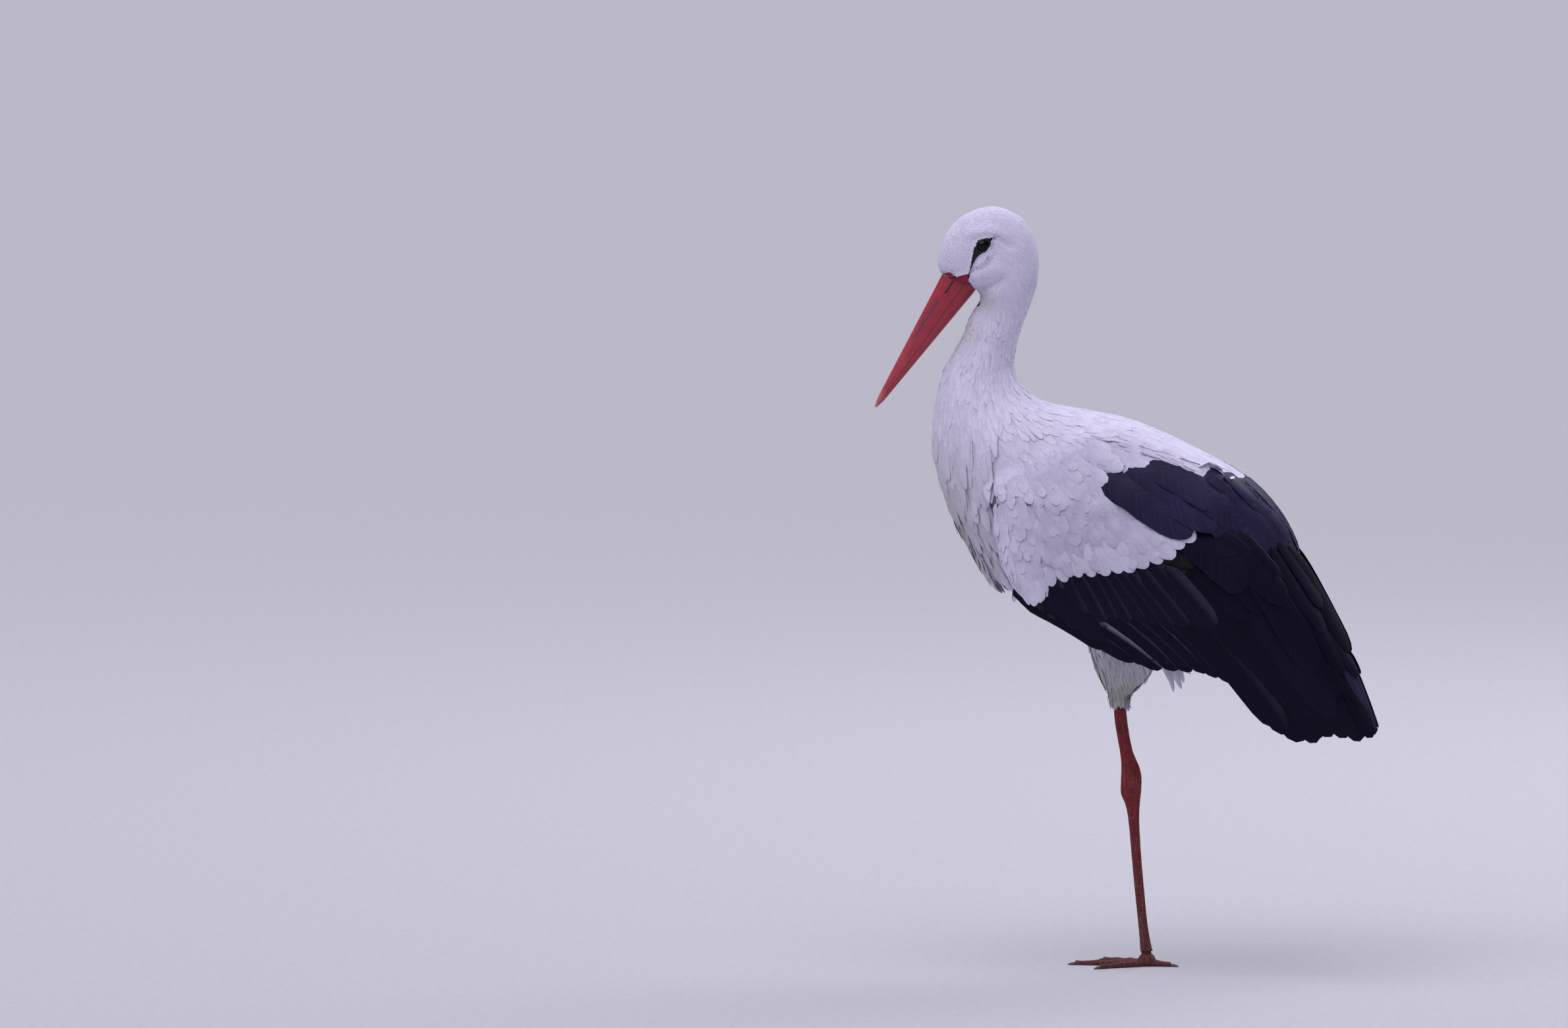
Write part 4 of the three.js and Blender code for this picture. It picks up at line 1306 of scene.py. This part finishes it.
# How much feathers of a row differ: in fall, in degrees, in their tips' places, in metres, and in breadth.
FALL_SPREAD, TIP_SPREAD, RAGGED = 1.6, 0.0012, 0.03


def feather_row(tips, count, fall, length, width, layer, end=0.1, bow=0.0, seed=1, shade="#FFFFFF", web=0.0,
                sink=2.2, surface=None, shoulder=0.8):
    """A row of broad feathers. tips is a line in mm. fall, length, width and layer run from its first to last."""
    dice = np.random.default_rng(seed)
    share = np.linspace(0, 1, count) if count > 1 else np.zeros(1)

    def run(pair):
        return pair[0] + (pair[1] - pair[0]) * share

    tip = along_line(tips, share)
    angle = np.radians(run(fall) + dice.normal(0, FALL_SPREAD, count))
    long = run(length) * dice.uniform(0.96, 1.04, count) / 1000
    tip = tip + dice.normal(0, TIP_SPREAD, (count, 2))
    wide = run(width) * dice.uniform(0.95, 1.06, count) / 1000
    way = np.stack([np.cos(angle), -np.sin(angle)], 1)
    across = np.stack([np.sin(angle), np.cos(angle)], 1)
    along = QUILL["along"]
    u = along[None, :, None]
    back = (u - 1) * long[:, None, None]
    curve = bow * (4 * u * (1 - u)) * long[:, None, None]
    flat = tip[:, None] + way[:, None] * back + across[:, None] * curve
    x, z = onto_wing(flat[..., 0], flat[..., 1])
    out, outs = field_at(x, z)
    line = np.stack([x, -out, z], -1)
    if surface is not None:
        line, outs = nearest(surface, line)
    lift = (run(layer)[:, None] - sink * (1 - u[..., 0]) ** 1.5) / 1000
    line = line + outs * lift[..., None]
    half = outline(along, np.full(count, end), shoulder) * wide[:, None] / 2
    half = half * (1 + dice.normal(0, RAGGED, half.shape) * (along > 0.6))
    tints = plain(shade, count) * dice.uniform(0.93, 1.07, (count, 1))
    webs = np.broadcast_to(np.asarray(web, float), (count,))
    return {"line": line, "outs": outs, "half": half, "tints": tints, "web": webs}


def stacked(rows):
    return {key: np.concatenate([row[key] for row in rows]) for key in rows[0]}


QUILL_THICK = 0.00045
QUILL_RIDGE = 0.00035
QUILL_ROLL = -0.05


def weave_rows(name, rows, slot, material, camber=0.10):
    """The left wing's piece from rows of feathers, and its mirror image for the right wing."""
    whole = stacked(rows)
    half = whole["half"]
    thickness = QUILL_THICK * (0.3 + 0.7 * half / half.max(1, keepdims=True))
    for side, flip in (("left", 1), ("right", -1)):
        line, outs = (whole[key] * np.array([1, flip, 1]) for key in ("line", "outs"))
        piece = weave(f"{name}_{side}", QUILL, line, outs, unit(np.gradient(line, axis=1)), half, thickness, camber,
                      QUILL_RIDGE, whole["tints"], slot, QUILL_ROLL * flip, whole["web"], flip)
        piece.data.materials.append(material)


# %% [markdown]
# Black feathers hold melanin, which is also tough. They are glossier than the white ones, with a faint cool sheen
# where they face the sky. The secondaries' outer webs have a silvery bloom, which shows as pale strips.

# %% Black plumage
black_keratin, tree, shader = plumage("black_feather_keratin", 34.0, "#D8D8D8", "#FFFFFF", 0.3, (0.7, 1.25))
base = shader.inputs["Base Color"].links[0].from_socket
bloom = add(tree, "Attribute", attribute_name="web").outputs["Fac"]
silver = add(tree, "Mix", {"Factor": bloom, FIRST: base, SECOND: "#8F8AA0"}, **BLEND)
fill(shader, {"Base Color": silver, "Roughness": 0.46, "Sheen Weight": 0.02, "Sheen Roughness": 0.4,
              "Sheen Tint": "#9C96C8", "Specular Tint": "#BDB9DE", "Specular IOR Level": 0.18})

# %% Flight feathers
BLACK = "plumage_black", black_keratin
# DEEP and DARK are the feathers' own blacks. The third, lighter and more violet, is painted sheen for feathers that
# face the sky.
DEEP, DARK, SHEENED_BLACK = "#0C0A1A", "#121023", "#2A2642"
PRIMARY_TIPS = [(150, 284), (172, 270), (193, 264), (214, 271), (236, 268), (254, 265), (262, 273)]
EDGE_TIPS = [(267, 280), (259, 292), (252, 304), (248, 324), (245, 343)]
SECONDARY_TIPS = [(-66, 388), (-30, 367), (8, 356), (42, 351), (92, 342), (124, 321), (140, 299), (160, 279)]
# How silvery each secondary's outer web is.
SILVER_WEBS = [0.1, 0.5, 0.3, 0.2, 0.6, 1.0, 0.35, 0.15, 1.0, 0.5] + [0.06] * 6

primaries = feather_row(PRIMARY_TIPS, 8, (48, 64), (210, 190), (34, 28), (-4.4, -2.8), end=0.0, bow=0.02, seed=21,
                        shade=DEEP, sink=1.0, shoulder=0.86)
# The edge row takes the lighter black with painted sheen.
edge_row = feather_row(EDGE_TIPS, 5, (68, 57), (160, 130), (15, 20), (-2.6, -1.2), end=0.35, bow=0.02, seed=22,
                       shade=SHEENED_BLACK, sink=1.0)
secondaries = feather_row(SECONDARY_TIPS, 16, (29, 50), (110, 200), (26, 29), (-1.8, -0.6), end=0.15, bow=0.03,
                          seed=23, shade=DEEP, sink=0.6, web=SILVER_WEBS)
weave_rows("primaries", [primaries, edge_row], *BLACK)
weave_rows("secondaries", [secondaries], *BLACK)


# %% Tertials
def loose_feathers(shade, *feathers, seed=1, **more):
    """Feathers laid one by one: each is its tip in mm, its fall in degrees, length, width and layer."""
    return stacked([feather_row([tip], 1, *((value, value) for value in lie), seed=seed + i, shade=shade, **more)
                    for i, (tip, *lie) in enumerate(feathers)])


INNER_TIPS = [(120, 362), (148, 340), (170, 313), (192, 300), (214, 297), (226, 330), (232, 370)]
inner = feather_row(INNER_TIPS, 9, (42, 59), (150, 150), (34, 26), (-0.8, 0.8), bow=0.02, seed=31, shade=DEEP)
singles = loose_feathers(
    DARK, ((214, 297), 55, 215, 38, 1.4), ((245, 344), 57, 130, 19, 1.2), ((206, 392), 59, 120, 26, 1.5),
    ((192, 351), 57, 175, 37, 2.2), ((200, 425), 60, 100, 24, 2.4), ((159, 430), 46, 115, 34, 2.4),
    ((112, 448), 45, 104, 42, 1.4), seed=35, end=0.05, sink=6.0)
weave_rows("tertials", [inner, singles], *BLACK)

# %% Greater coverts
REAR_TIPS = [(96, 400), (130, 420), (150, 455)]
COVERT_TIPS = [(-114, 424), (-95, 404), (-78, 402), (-34, 412), (19, 403), (76, 405)]
FRONT_TIPS = [(-118, 427), (-104, 413), (-88, 402), (-70, 392), (-54, 384)]
greater = [
    feather_row(REAR_TIPS, 5, (47, 52), (90, 78), (26, 26), (0.4, 1.4), end=0.15, seed=42, shade=DEEP, sink=6.0),
    feather_row(COVERT_TIPS, 13, (70, 46), (62, 95), (20, 26), (-0.4, 1.2), end=0.15, bow=0.02, seed=41, shade=DARK,
                web=[0.05, 0.1, 0.16, 0.05] + [0.1] * 9),
    feather_row(FRONT_TIPS, 8, (68, 48), (66, 84), (16, 20), (0.2, 0.6), end=0.2, bow=0.02, seed=43, shade=DARK,
                sink=2.0),
]
weave_rows("greater_coverts", greater, *BLACK)

# %% Black scapulars
# The scapulars take the lighter black with painted sheen.
scapulars = loose_feathers(
    SHEENED_BLACK, ((184, 457), 61, 106, 34, 8.4), ((143, 491), 47, 110, 38, 9.0), ((127, 479), 46, 124, 42, 9.4),
    ((45, 507), 37, 128, 46, 8.8), ((76, 514), 34, 124, 42, 9.4), ((110, 520), 36, 116, 44, 9.6),
    ((88, 536), 32, 112, 44, 9.8), ((183, 478), 58, 90, 30, 8.4), seed=51, sink=5.5, surface=cover, shoulder=0.66)
weave_rows("scapulars", [scapulars], *BLACK, camber=0.12)

# %% Saddle
# Shorter black feathers of both shoulders meet over the back, behind the white mantle.
SADDLE = [
    ((75, 50, 590), (0.8, 0.1, -0.5), 70, 27, 9.0, 10), ((110, 20, 575), (0.82, 0.05, -0.5), 62, 25, 9.0, 10),
    ((145, 12, 535), (0.66, 0, -0.75), 50, 22, 9.0, 9.5),
]
x, out, z = one_sided(cover["points"]).T
front = np.interp(out, [0, 14, 50], [108, 98, 62])
# The saddle takes the lighter black with painted sheen.
saddle = grow("coat_saddle", (x > front) & (x < 148) & (z > 512) & (out < 62), SCALE, 91, 0.05, follow=0.95,
              surface=cover, hide=False, camber=0.1, rule=blend_rule(SADDLE), slot="plumage_black", thick=0.0003,
              colouring=lambda points: plain(SHEENED_BLACK, len(points)))
saddle.data.materials.append(black_keratin)

# %% [markdown]
# ## White coverts
#
# The lesser and median coverts are small and lie over the forearm like tiles, finest at the bend of the wing and
# broadest in the lowest rows, which end in round tips over the black. They are scattered on the wing's own skin by
# a table of their own, and the two lowest rows are laid feather by feather.

# %% Table of the wing's coverts
WING_TRACTS = [
    ((-168, 62, 575), (0.28, 0.1, -0.95), 20, 10, 5.0, 4.6),
    ((-150, 80, 520), (0.3, 0, -0.95), 26, 12, 5.0, 5.2),
    ((-135, 80, 470), (0.36, 0, -0.93), 30, 13, 5.0, 5.4),
    ((-125, 85, 605), (0.72, 0.1, -0.68), 30, 16, 5.0, 6.4),
    ((-90, 95, 560), (0.5, 0, -0.86), 28, 14, 5.0, 5.6),
    ((-85, 97, 500), (0.46, 0, -0.88), 30, 15, 5.0, 6.0),
    ((-30, 97, 560), (0.75, 0, -0.66), 32, 16, 5.0, 6.4),
    ((-20, 97, 505), (0.68, 0, -0.73), 32, 17, 5.0, 6.6),
    ((-40, 80, 620), (0.94, 0.08, -0.3), 40, 20, 5.6, 8),
    ((40, 75, 612), (0.95, 0.05, -0.28), 44, 22, 6.0, 9),
    ((100, 70, 585), (0.88, 0, -0.42), 44, 20, 6.0, 9),
    ((30, 99, 500), (0.75, 0, -0.66), 32, 16, 5.0, 6.6),
]
wing_rule = blend_rule(WING_TRACTS)

# %% Grow the white coverts
facing = skin_normals[:, 1] * np.sign(skin_points[:, 1]) > 0.2
rooted = above_edge(lowered(skin_points, 0.014))
# The first feathers are rooted up under the mantle's edge, and deeper towards the front.
tucked = np.zeros_like(skin_points)
tucked[:, 2] = np.where(skin_points[:, 0] < -0.07, 0.03, 0.014)
white_wing = on_wing & facing & rooted & ~over_back(skin_points - tucked)
for side, sign in (("left", -1), ("right", 1)):
    grow(f"coverts_{side}", white_wing & (skin_points[:, 1] * sign > 0), SCALE, 61, 0.12, follow=0.9, stand=0.0018,
         rule=wing_rule, hide=False, thick=0.0002, camber=0.16, surface=wings, dense=1.12,
         drop=lambda tips: ~above_edge(lowered(tips / 1000, 0.003)))

# %% The lowest white rows
# A greyer white: painted shade, to blend with the painted shade of the coverts above.
GREYED_SNOW = "#D3CEE3"
LOW_TIPS = [(-123, 437), (-112, 452), (-75, 461), (-50, 462), (-14, 469), (19, 480), (51, 504)]
NEXT_TIPS = [(-122, 466), (-70, 478), (-20, 486), (26, 502)]
white_rows = [
    feather_row(LOW_TIPS, 13, (76, 40), (48, 52), (17, 24), (0.4, 1.0), seed=71, shade=GREYED_SNOW, sink=3.0,
                shoulder=0.65),
    feather_row(NEXT_TIPS, 12, (74, 42), (42, 48), (17, 22), (0.6, 1.2), seed=72, shade=GREYED_SNOW, sink=3.5,
                shoulder=0.65),
]
weave_rows("white_rows", white_rows, "plumage_white", white_keratin, camber=0.16)

# %% [markdown]
# ## Skin material
#
# The skin shows only on the legs, the feet and round the eye. Leg skin is horn in small plates: long six-sided
# ones down the front of the shank, pebbles elsewhere, coral red, with pale dust, dark seams, and browner and darker
# towards the feet. Round the eye it is thin, black and finely wrinkled. Under the coat it takes the shade of the
# feathers over it.

# %% Skin
def leg_horn(tree, place):
    """The colour of the leg's plates and of the seams between them, and the plates' height."""
    plate_place = add(tree, "Mapping", {"Vector": place, "Scale": (1.0, 1.0, 0.62)})
    plates = add(tree, "TexVoronoi", {"Vector": plate_place, "Scale": 340.0, "Randomness": 0.75},
                 feature="DISTANCE_TO_EDGE")
    seams = add(tree, "ValToRGB", {"Fac": plates}, stops=[(0.0, 0), (0.12, 1)])
    drift = add(tree, "TexNoise", {"Vector": place, "Scale": 26.0, "Detail": 4.0, "Roughness": 0.6})
    red = add(tree, "ValToRGB", {"Fac": drift}, stops=[(0.3, "#571318"), (0.55, "#7E1A21"), (0.72, "#902B2A")])
    streaks = add(tree, "Mapping", {"Vector": place, "Scale": (1.0, 1.0, 0.16)})
    dust = add(tree, "TexNoise", {"Vector": streaks, "Scale": 210.0, "Detail": 5.0, "Roughness": 0.7})
    dusty = add(tree, "ValToRGB", {"Fac": dust}, stops=[(0.52, 0), (0.75, 0.4)])
    height = add(tree, "SeparateXYZ", {0: place}).outputs["Z"]
    # Browner and darker towards the feet.
    low = add(tree, "MapRange", {"Value": height, "From Min": 0.2, "From Max": 0.06, "To Min": 0.0, "To Max": 0.75})
    browner_below = add(tree, "Mix", {"Factor": low, FIRST: red, SECOND: "#5E3A34"}, **BLEND)
    powdered = add(tree, "Mix", {"Factor": dusty, FIRST: browner_below, SECOND: "#A58B8C"}, **BLEND)
    return add(tree, "Mix", {"Factor": seams, FIRST: "#4A1A1E", SECOND: powdered}, **BLEND), seams


def bird_skin():
    material, tree, shader = new_material("stork_skin_and_leg_horn")
    place = add(tree, "TexCoord").outputs["Object"]
    dark, leg, face, gape = (add(tree, "Attribute", attribute_name=name).outputs["Fac"]
                             for name in ("dark", "leg", "face", "gape"))
    # The bare patch and the gape's rim have a firm edge, which a short range makes of their soft shares.
    face, rim = (add(tree, "MapRange", {"Value": share, "From Min": 0.42, "From Max": 0.5}) for share in (face, gape))
    down = add(tree, "TexNoise", {"Vector": place, "Scale": 700.0, "Detail": 3.0})
    ground = add(tree, "MapRange", {"Value": down, "To Min": 0.7, "To Max": 1.05})
    tint = add(tree, "Attribute", attribute_name="tint")
    undertone = add(tree, "VectorMath", {0: tint, "Scale": ground}, operation="SCALE")
    horn, seams = leg_horn(tree, place)
    creases = add(tree, "TexNoise", {"Vector": place, "Scale": 900.0, "Detail": 4.0})
    black = add(tree, "ValToRGB", {"Fac": creases}, stops=[(0.3, "#0D0B10"), (0.7, "#221F29")])
    finish = undertone
    for share, over in ((dark, "#0D0B12"), (leg, horn), (rim, "#8E2238"), (face, black)):
        finish = add(tree, "Mix", {"Factor": share, FIRST: finish, SECOND: over}, **BLEND)
    raised = add(tree, "Math", {0: seams, 1: leg}, operation="MULTIPLY")
    folded = add(tree, "Math", {0: creases, 1: face, 2: raised}, operation="MULTIPLY_ADD")
    bumpy = add(tree, "Bump", {"Height": folded, "Strength": 0.6, "Distance": 0.0004})
    fill(shader, {"Base Color": finish, "Normal": bumpy, "Roughness": 0.55, "IOR": KERATIN_IOR,
                  "Specular IOR Level": 0.25})
    return material


skin.data.materials.append(bird_skin())

# %% [markdown]
# ## Bill
#
# Two horn sheaths over bone, meeting at the gape. The upper one has a low ridge along the culmen and a nostril, a
# narrow slit near the base that runs on forward as a shallow groove. Horn is translucent and polished by use, with
# fine grooves along its length. Each half starts from a copy of its solid, made finer, then pressed in by rule.

# %% Shape the bill
NOSTRIL = (-243, 797), (-234, 811)
GROOVE = NOSTRIL[0], (-283, 738)
GROOVE_BAND = (-252, 787), (-279, 745)
BILL_GRAIN = 0.0007
# The first few mm of the bill are carried back, by so many metres at the base.
SEAT_LENGTH, SEAT_DEPTH = 2.5, 0.006


def bill_half(name, node):
    piece = remeshed(joined_copy(name, node), BILL_GRAIN, rounds=5)
    points, out = points_of(piece), normals_of(piece)
    at = straight(points, TURN)
    along = np.clip(((at[:, (0, 2)] * 1000 - BILL_BASE) @ (BILL_TIP - BILL_BASE)) / BILL_LENGTH**2, 0, 1)
    sideways = np.clip(np.abs(at[:, 1]) / 0.004, 0, 1)
    press = np.zeros(len(points))
    # Red horn, paler towards the tip, and darker at the base.
    shade = mixed(plain("#A42037", len(points)), "#B23E4B", along * 1.1)
    shade = mixed(shade, "#CF8078", (along - 0.86) / 0.14)
    shade = mixed(shade, "#8E2B3C", (0.10 - along) / 0.10 * 0.7)
    if "upper" in name:
        slit, _ = to_segment(at, *NOSTRIL)
        groove, share = to_segment(at, *GROOVE)
        press += 0.0013 * np.exp(-((slit / 1.0) ** 2)) * sideways
        press += 0.0005 * np.exp(-((groove / 1.3) ** 2)) * sideways * (1 - share)
        # The nostril's slit is painted near black: painted shade for the depth of the opening.
        shade = mixed(shade, "#2C1520", 1.3 * np.exp(-((slit / 1.15) ** 2)) * sideways)
        # A darker, purplish band runs beside the groove, narrowing forward.
        band_gap, share = to_segment(at, *GROOVE_BAND)
        shade = mixed(shade, "#5B3550", 0.75 * np.exp(-((band_gap / (2.6 - 1.2 * share)) ** 2)) * sideways)
    shade = mixed(shade, "#1C1118", 1.2 * (outside_patch(at) < 0.3))
    # The lower half is painted a little darker where it faces down: painted shade.
    if "lower" in name:
        shade = mixed(shade, "#9C2738", 0.45 * np.clip(-out[:, 2] + 0.3, 0, 1))
    # The base is carried back a little under the face, so that no gap shows at the feathers' edge.
    seat = np.clip(1 - along * BILL_LENGTH / SEAT_LENGTH, 0, 1)[:, None]
    back = rotated(np.array([[BILL_WAY[0], 0, BILL_WAY[1]]]), TURN) * -SEAT_DEPTH
    set_points(piece, points - out * press[:, None] + back * seat)
    aside = (at[:, (0, 2)] * 1000 - BILL_BASE) @ BILL_DOWN / 1000 / (1.05 - along)
    put_attribute(piece, "shade", shade)
    put_attribute(piece, "grain", np.stack([along * 0.011, aside, at[:, 1] / (1.05 - along)], 1))
    return piece


bill_upper = bill_half("bill_horn_upper", "bill_upper")
bill_lower = bill_half("bill_horn_lower", "bill_lower")
print("bill:", len(bill_upper.data.polygons), "and", len(bill_lower.data.polygons), "faces")

# %% Bill horn
def bill_horn():
    material, tree, shader = new_material("red_bill_horn")
    shade = add(tree, "Attribute", attribute_name="shade")
    place = add(tree, "TexCoord").outputs["Object"]
    lengthwise = add(tree, "Attribute", attribute_name="grain").outputs["Vector"]
    grooves = add(tree, "TexNoise", {"Vector": lengthwise, "Scale": 420.0, "Detail": 4.0, "Roughness": 0.6})
    blotches = add(tree, "TexNoise", {"Vector": place, "Scale": 95.0, "Detail": 4.0, "Roughness": 0.65})
    fine, broad = (add(tree, "MapRange", {"Value": pattern, "From Min": 0.3, "From Max": 0.7, "To Min": darkest,
                                          "To Max": 1.12})
                   for pattern, darkest in ((grooves, 0.84), (blotches, 0.85)))
    both = add(tree, "Math", {0: fine, 1: broad}, operation="MULTIPLY")
    finish = add(tree, "VectorMath", {0: shade, "Scale": both}, operation="SCALE")
    raised = add(tree, "Bump", {"Height": grooves, "Strength": 0.35, "Distance": 0.0003})
    rough = add(tree, "MapRange", {"Value": blotches, "To Min": 0.36, "To Max": 0.56})
    fill(shader, {"Base Color": finish, "Normal": raised, "Roughness": rough, "IOR": KERATIN_IOR,
                  "Subsurface Weight": 0.08, "Subsurface Radius": (0.004, 0.0012, 0.001), "Subsurface Scale": 1.0})
    return material


red_horn = bill_horn()
bill_upper.data.materials.append(red_horn)
bill_lower.data.materials.append(red_horn)

# %% [markdown]
# ## Eyes
#
# A stork's iris is so dark that the whole eye reads black, with a brown ring only in strong light. The ball is a
# sphere whose front bulges a little more as the cornea, wet and glossy. Lids of black skin close on it: two soft
# rims that meet in a corner fore and aft.

# %% Model eyes and lids
EYE_AXIS = unit(EYE_LEFT - EYE_RIGHT)
LID_RADIUS, LID_THICK = 0.0070, 0.0009


def eye_ball(name, centre, axis):
    bpy.ops.object.select_all(action="DESELECT")
    bpy.ops.mesh.primitive_uv_sphere_add(segments=48, ring_count=32, radius=EYE_RADIUS - 0.0002)
    ball = in_order(bpy.context.object)
    ball.name = name
    points = points_of(ball)
    swell = np.clip((unit(points)[:, 2] - 0.72) / 0.28, 0, 1)
    points *= (1 + 0.05 * swell * swell * (3 - 2 * swell))[:, None]
    put_attribute(ball, "ring", np.degrees(np.arccos(np.clip(unit(points)[:, 2], -1, 1))) / 90)
    turn = Vector((0, 0, 1)).rotation_difference(Vector(axis)).to_matrix()
    set_points(ball, points @ np.array(turn).T + centre)
    bpy.ops.object.shade_smooth()
    return ball


def lid_ring(name, centre, axis):
    """A soft rim round the eye's opening, drawn out fore and aft along the line of the bare patch."""
    bpy.ops.object.select_all(action="DESELECT")
    bpy.ops.mesh.primitive_torus_add(major_segments=64, minor_segments=14, major_radius=LID_RADIUS,
                                     minor_radius=LID_THICK)
    rim = in_order(bpy.context.object)
    rim.name = name
    points = points_of(rim)
    angle = np.arctan2(points[:, 1], points[:, 0])
    points[:, 0] *= 1.13 + 0.05 * np.cos(4 * angle)
    points[:, 1] *= 0.93
    points[:, 2] += EYE_RADIUS * 0.5 - 0.0009 * np.abs(np.cos(angle)) ** 3
    aft = Vector((0.77, 0, 0.64))
    out = Vector(axis)
    aft = (aft - out * aft.dot(out)).normalized()
    set_points(rim, points @ np.array([aft, out.cross(aft), out]) + centre)
    edit_all(bpy.ops.mesh.normals_make_consistent, inside=False)
    bpy.ops.object.shade_smooth()
    return rim


eye_pieces = []
for side, centre, axis in (("left", EYE_LEFT, EYE_AXIS), ("right", EYE_RIGHT, -EYE_AXIS)):
    eye_pieces.append((eye_ball(f"eyeball_{side}", centre, axis), lid_ring(f"eyelid_{side}", centre, axis)))
print(len(eye_pieces), "eyes with their lids")

# %% Eye and lid materials
wet_eye, tree, shader = new_material("wet_dark_eye")
ring = add(tree, "Attribute", attribute_name="ring").outputs["Fac"]
fibres = add(tree, "TexNoise", {"Vector": add(tree, "TexCoord").outputs["Object"], "Scale": 900.0, "Detail": 3.0})
wavy = add(tree, "Math", {0: fibres, 1: 0.06, 2: ring}, operation="MULTIPLY_ADD")
iris = add(tree, "ValToRGB", {"Fac": wavy},
           stops=[(0.34, "#050407"), (0.38, "#1A1110"), (0.55, "#120C0E"), (0.66, "#08070A")])
fill(shader, {"Base Color": iris, "Roughness": 0.07, "IOR": 1.34, "Specular IOR Level": 0.28})


def mottled(name, scale, stops, bump, roughness):
    """A skin or horn with one noise pattern for its colour and its bump."""
    material, tree, shader = new_material(name)
    place = add(tree, "TexCoord").outputs["Object"]
    pattern = add(tree, "TexNoise", {"Vector": place, "Scale": scale, "Detail": 4.0})
    raised = add(tree, "Bump", {"Height": pattern, "Strength": bump, "Distance": 0.0003})
    fill(shader, {"Base Color": add(tree, "ValToRGB", {"Fac": pattern}, stops=stops), "Normal": raised,
                  "Roughness": roughness})
    return material, shader


lid_skin, _ = mottled("black_lid_skin", 1100.0, [(0.3, "#0C0A0E"), (0.7, "#252029")], 0.5, 0.5)
for ball, rim in eye_pieces:
    ball.data.materials.append(wet_eye)
    rim.data.materials.append(lid_skin)

# %% [markdown]
# ## Nails
#
# A stork's nails are short and blunt, hardly more than flat caps of dark brown horn. Each is its solid made finer
# and rounded, so that no facet shows.

# %% Nails
NAIL_GRAIN = 0.0005
nail_browns = [(0.3, "#2A1D1C"), (0.6, "#4A3430"), (0.8, "#5F4840")]
nail_horn, shader = mottled("brown_nail_horn", 480.0, nail_browns, 0.4, 0.45)
fill(shader, {"IOR": KERATIN_IOR})
nails = []
for side in ("left", "right"):
    for toe in ("hind", "inner", "middle", "outer"):
        nail = remeshed(joined_copy(f"nail_{side}_{toe}", f"claw_{side}_{toe}"), NAIL_GRAIN, rounds=4)
        nail.data.materials.append(nail_horn)
        nails.append((nail, f"claw_{side}_{toe}"))
print(len(nails), "nails")

# %% [markdown]
# ## Hand over to the frame
#
# Nothing moves on this bird, so everything rides on the one body. The skin stands for the flesh solids, and each
# other piece for its own.

# %% Ride, replace and finish
def finish_piece(piece, slot, *nodes):
    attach(piece, "root")
    if nodes:
        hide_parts(*nodes)


finish_piece(skin, "plumage_white", *FLESH)
finish_piece(bill_upper, "bill", "bill_upper")
finish_piece(bill_lower, "bill", "bill_lower")
for (ball, rim), side in zip(eye_pieces, ("left", "right")):
    finish_piece(ball, "eye", f"eye_{side}")
    finish_piece(rim, "eye")
for nail, node in nails:
    finish_piece(nail, "claw", node)
for name, (piece, slot) in coat_pieces.items():
    if not piece.data.materials:
        piece.data.materials.append(white_keratin)
    quills = {"primaries_left": ["wing_left_quills"], "primaries_right": ["wing_right_quills"]}.get(name, [])
    finish_piece(piece, slot, *quills)
